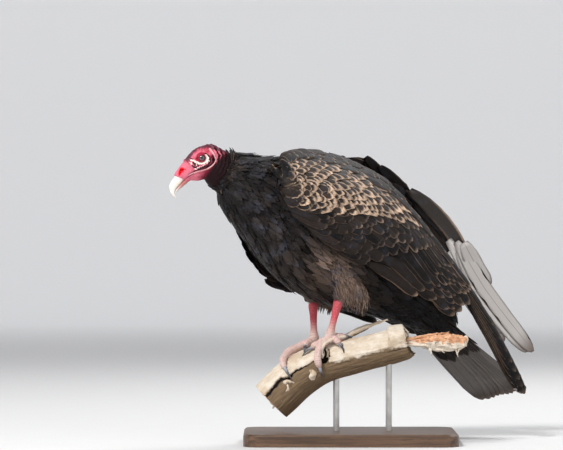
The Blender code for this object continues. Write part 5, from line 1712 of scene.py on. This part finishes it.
def buildStrips():  # peeled strips, loose bits of bark and broken fibres
    peel = [splinter(*strips["curl"], tip=0.8, sides=14, rough=0.12, seed=151),
            splinter(*strips["twig"], tip=0.34, sides=12, rough=0.15, seed=152),
            splinter(*strips["twigUnder"], tip=0.3, sides=10, rough=0.2, seed=153)]
    # the strip under the twig gets a low lit value, as painted shade
    woodPiece("peeled_strips", peel, weatheredBark, np.array([1.0, 1.0, 0.15]), 0.45)
    bits = [splinter(*part, tip=0.6, sides=16, rough=0.42, seed=160 + i)
            for i, part in enumerate(strips["knob"] + strips["root"] + strips["shard"])]
    woodPiece("loose_bark", bits, weatheredBark, np.array([1, 1, 0.75, 0.7, 1]), 0.5)
    broken = [splinter(*part, tip=0.4, sides=8, seed=170 + i) for i, part in enumerate(strips["broken"])]
    woodPiece("broken_bits", broken, weatheredBark, 0.35, 0.8)


buildBark()
buildCore()
buildStrips()
print("perch made")


# Stand

for name, finish in (("stand_base", board), ("stand_rod_1", steel), ("stand_rod_2", steel)):
    node = bpy.data.objects[name]
    node.data = node.data.copy()
    node.data.materials.clear()
    node.data.materials.append(finish)


# Room, light and camera

roomShape = {"flat": 7200.0, "bend": 2400.0, "high": 7000.0, "sky": (0.86, 0.90, 1.0, 1.0), "skyStrength": 0.24}
cameraShape = {"at": (-0.1096, -6.0, 0.349), "sensor": 36, "lens": 36 * 6 / 0.9008}
lamps = [("key", (-1.7, -2.7, 3.3), (0.0, 0.0, 0.25), 1.0, 180.0),  # name, place, aim, size, power
         ("fill", (2.8, -2.6, 1.4), (0.0, 0.0, 0.25), 2.6, 12.0),
         ("rim", (1.2, 1.9, 2.6), (0.0, 0.0, 0.35), 1.4, 50.0)]


def buildRoom():  # a round floor that turns up into a wall all round, and three soft lamps
    shape = roomShape
    turn = np.linspace(0, np.pi / 2, 16)
    out = np.concatenate([[1.0], shape["flat"] + shape["bend"] * np.sin(turn), [shape["flat"] + shape["bend"]]])
    high = np.concatenate([[0], shape["bend"] * (1 - np.cos(turn)), [shape["high"]]])
    around = turns(96)
    out, high = out[:, None], high[:, None]
    rings = joined(out * np.cos(around), out * np.sin(around), high + 0 * around)
    floor = placed("floor", newMesh("floor", rings.reshape(-1, 3), [gridFaces(len(out), len(around), True)]))
    floor.data.materials.append(floorFinish())
    world = bpy.data.worlds.new("room")
    world.use_nodes = True
    world.node_tree.nodes["Background"].inputs["Color"].default_value = shape["sky"]
    world.node_tree.nodes["Background"].inputs["Strength"].default_value = shape["skyStrength"]
    bpy.context.scene.world = world
    bpy.context.scene.view_settings.view_transform = "Standard"
    for name, spot, target, size, power in lamps:
        lamp = bpy.data.lights.new(name, "AREA")
        lamp.size = size
        lamp.energy = power
        holder = placed(name, lamp)
        aim = unit(np.array(target) - np.array(spot))
        side = unit(np.cross(aim, (0.0, 0.0, 1.0)))
        turn = Matrix(joined(side, np.cross(side, aim), -aim).tolist()).to_4x4()
        holder.matrix_world = Matrix.Translation(spot) @ turn


def buildCamera():  # level, and square to the X axis
    view = bpy.data.cameras.new("view")
    view.lens, view.sensor_width = cameraShape["lens"], cameraShape["sensor"]
    holder = placed("view", view)
    holder.location = cameraShape["at"]
    holder.rotation_euler = (math.radians(90), 0, 0)
    bpy.context.scene.camera = holder


buildRoom()
buildCamera()
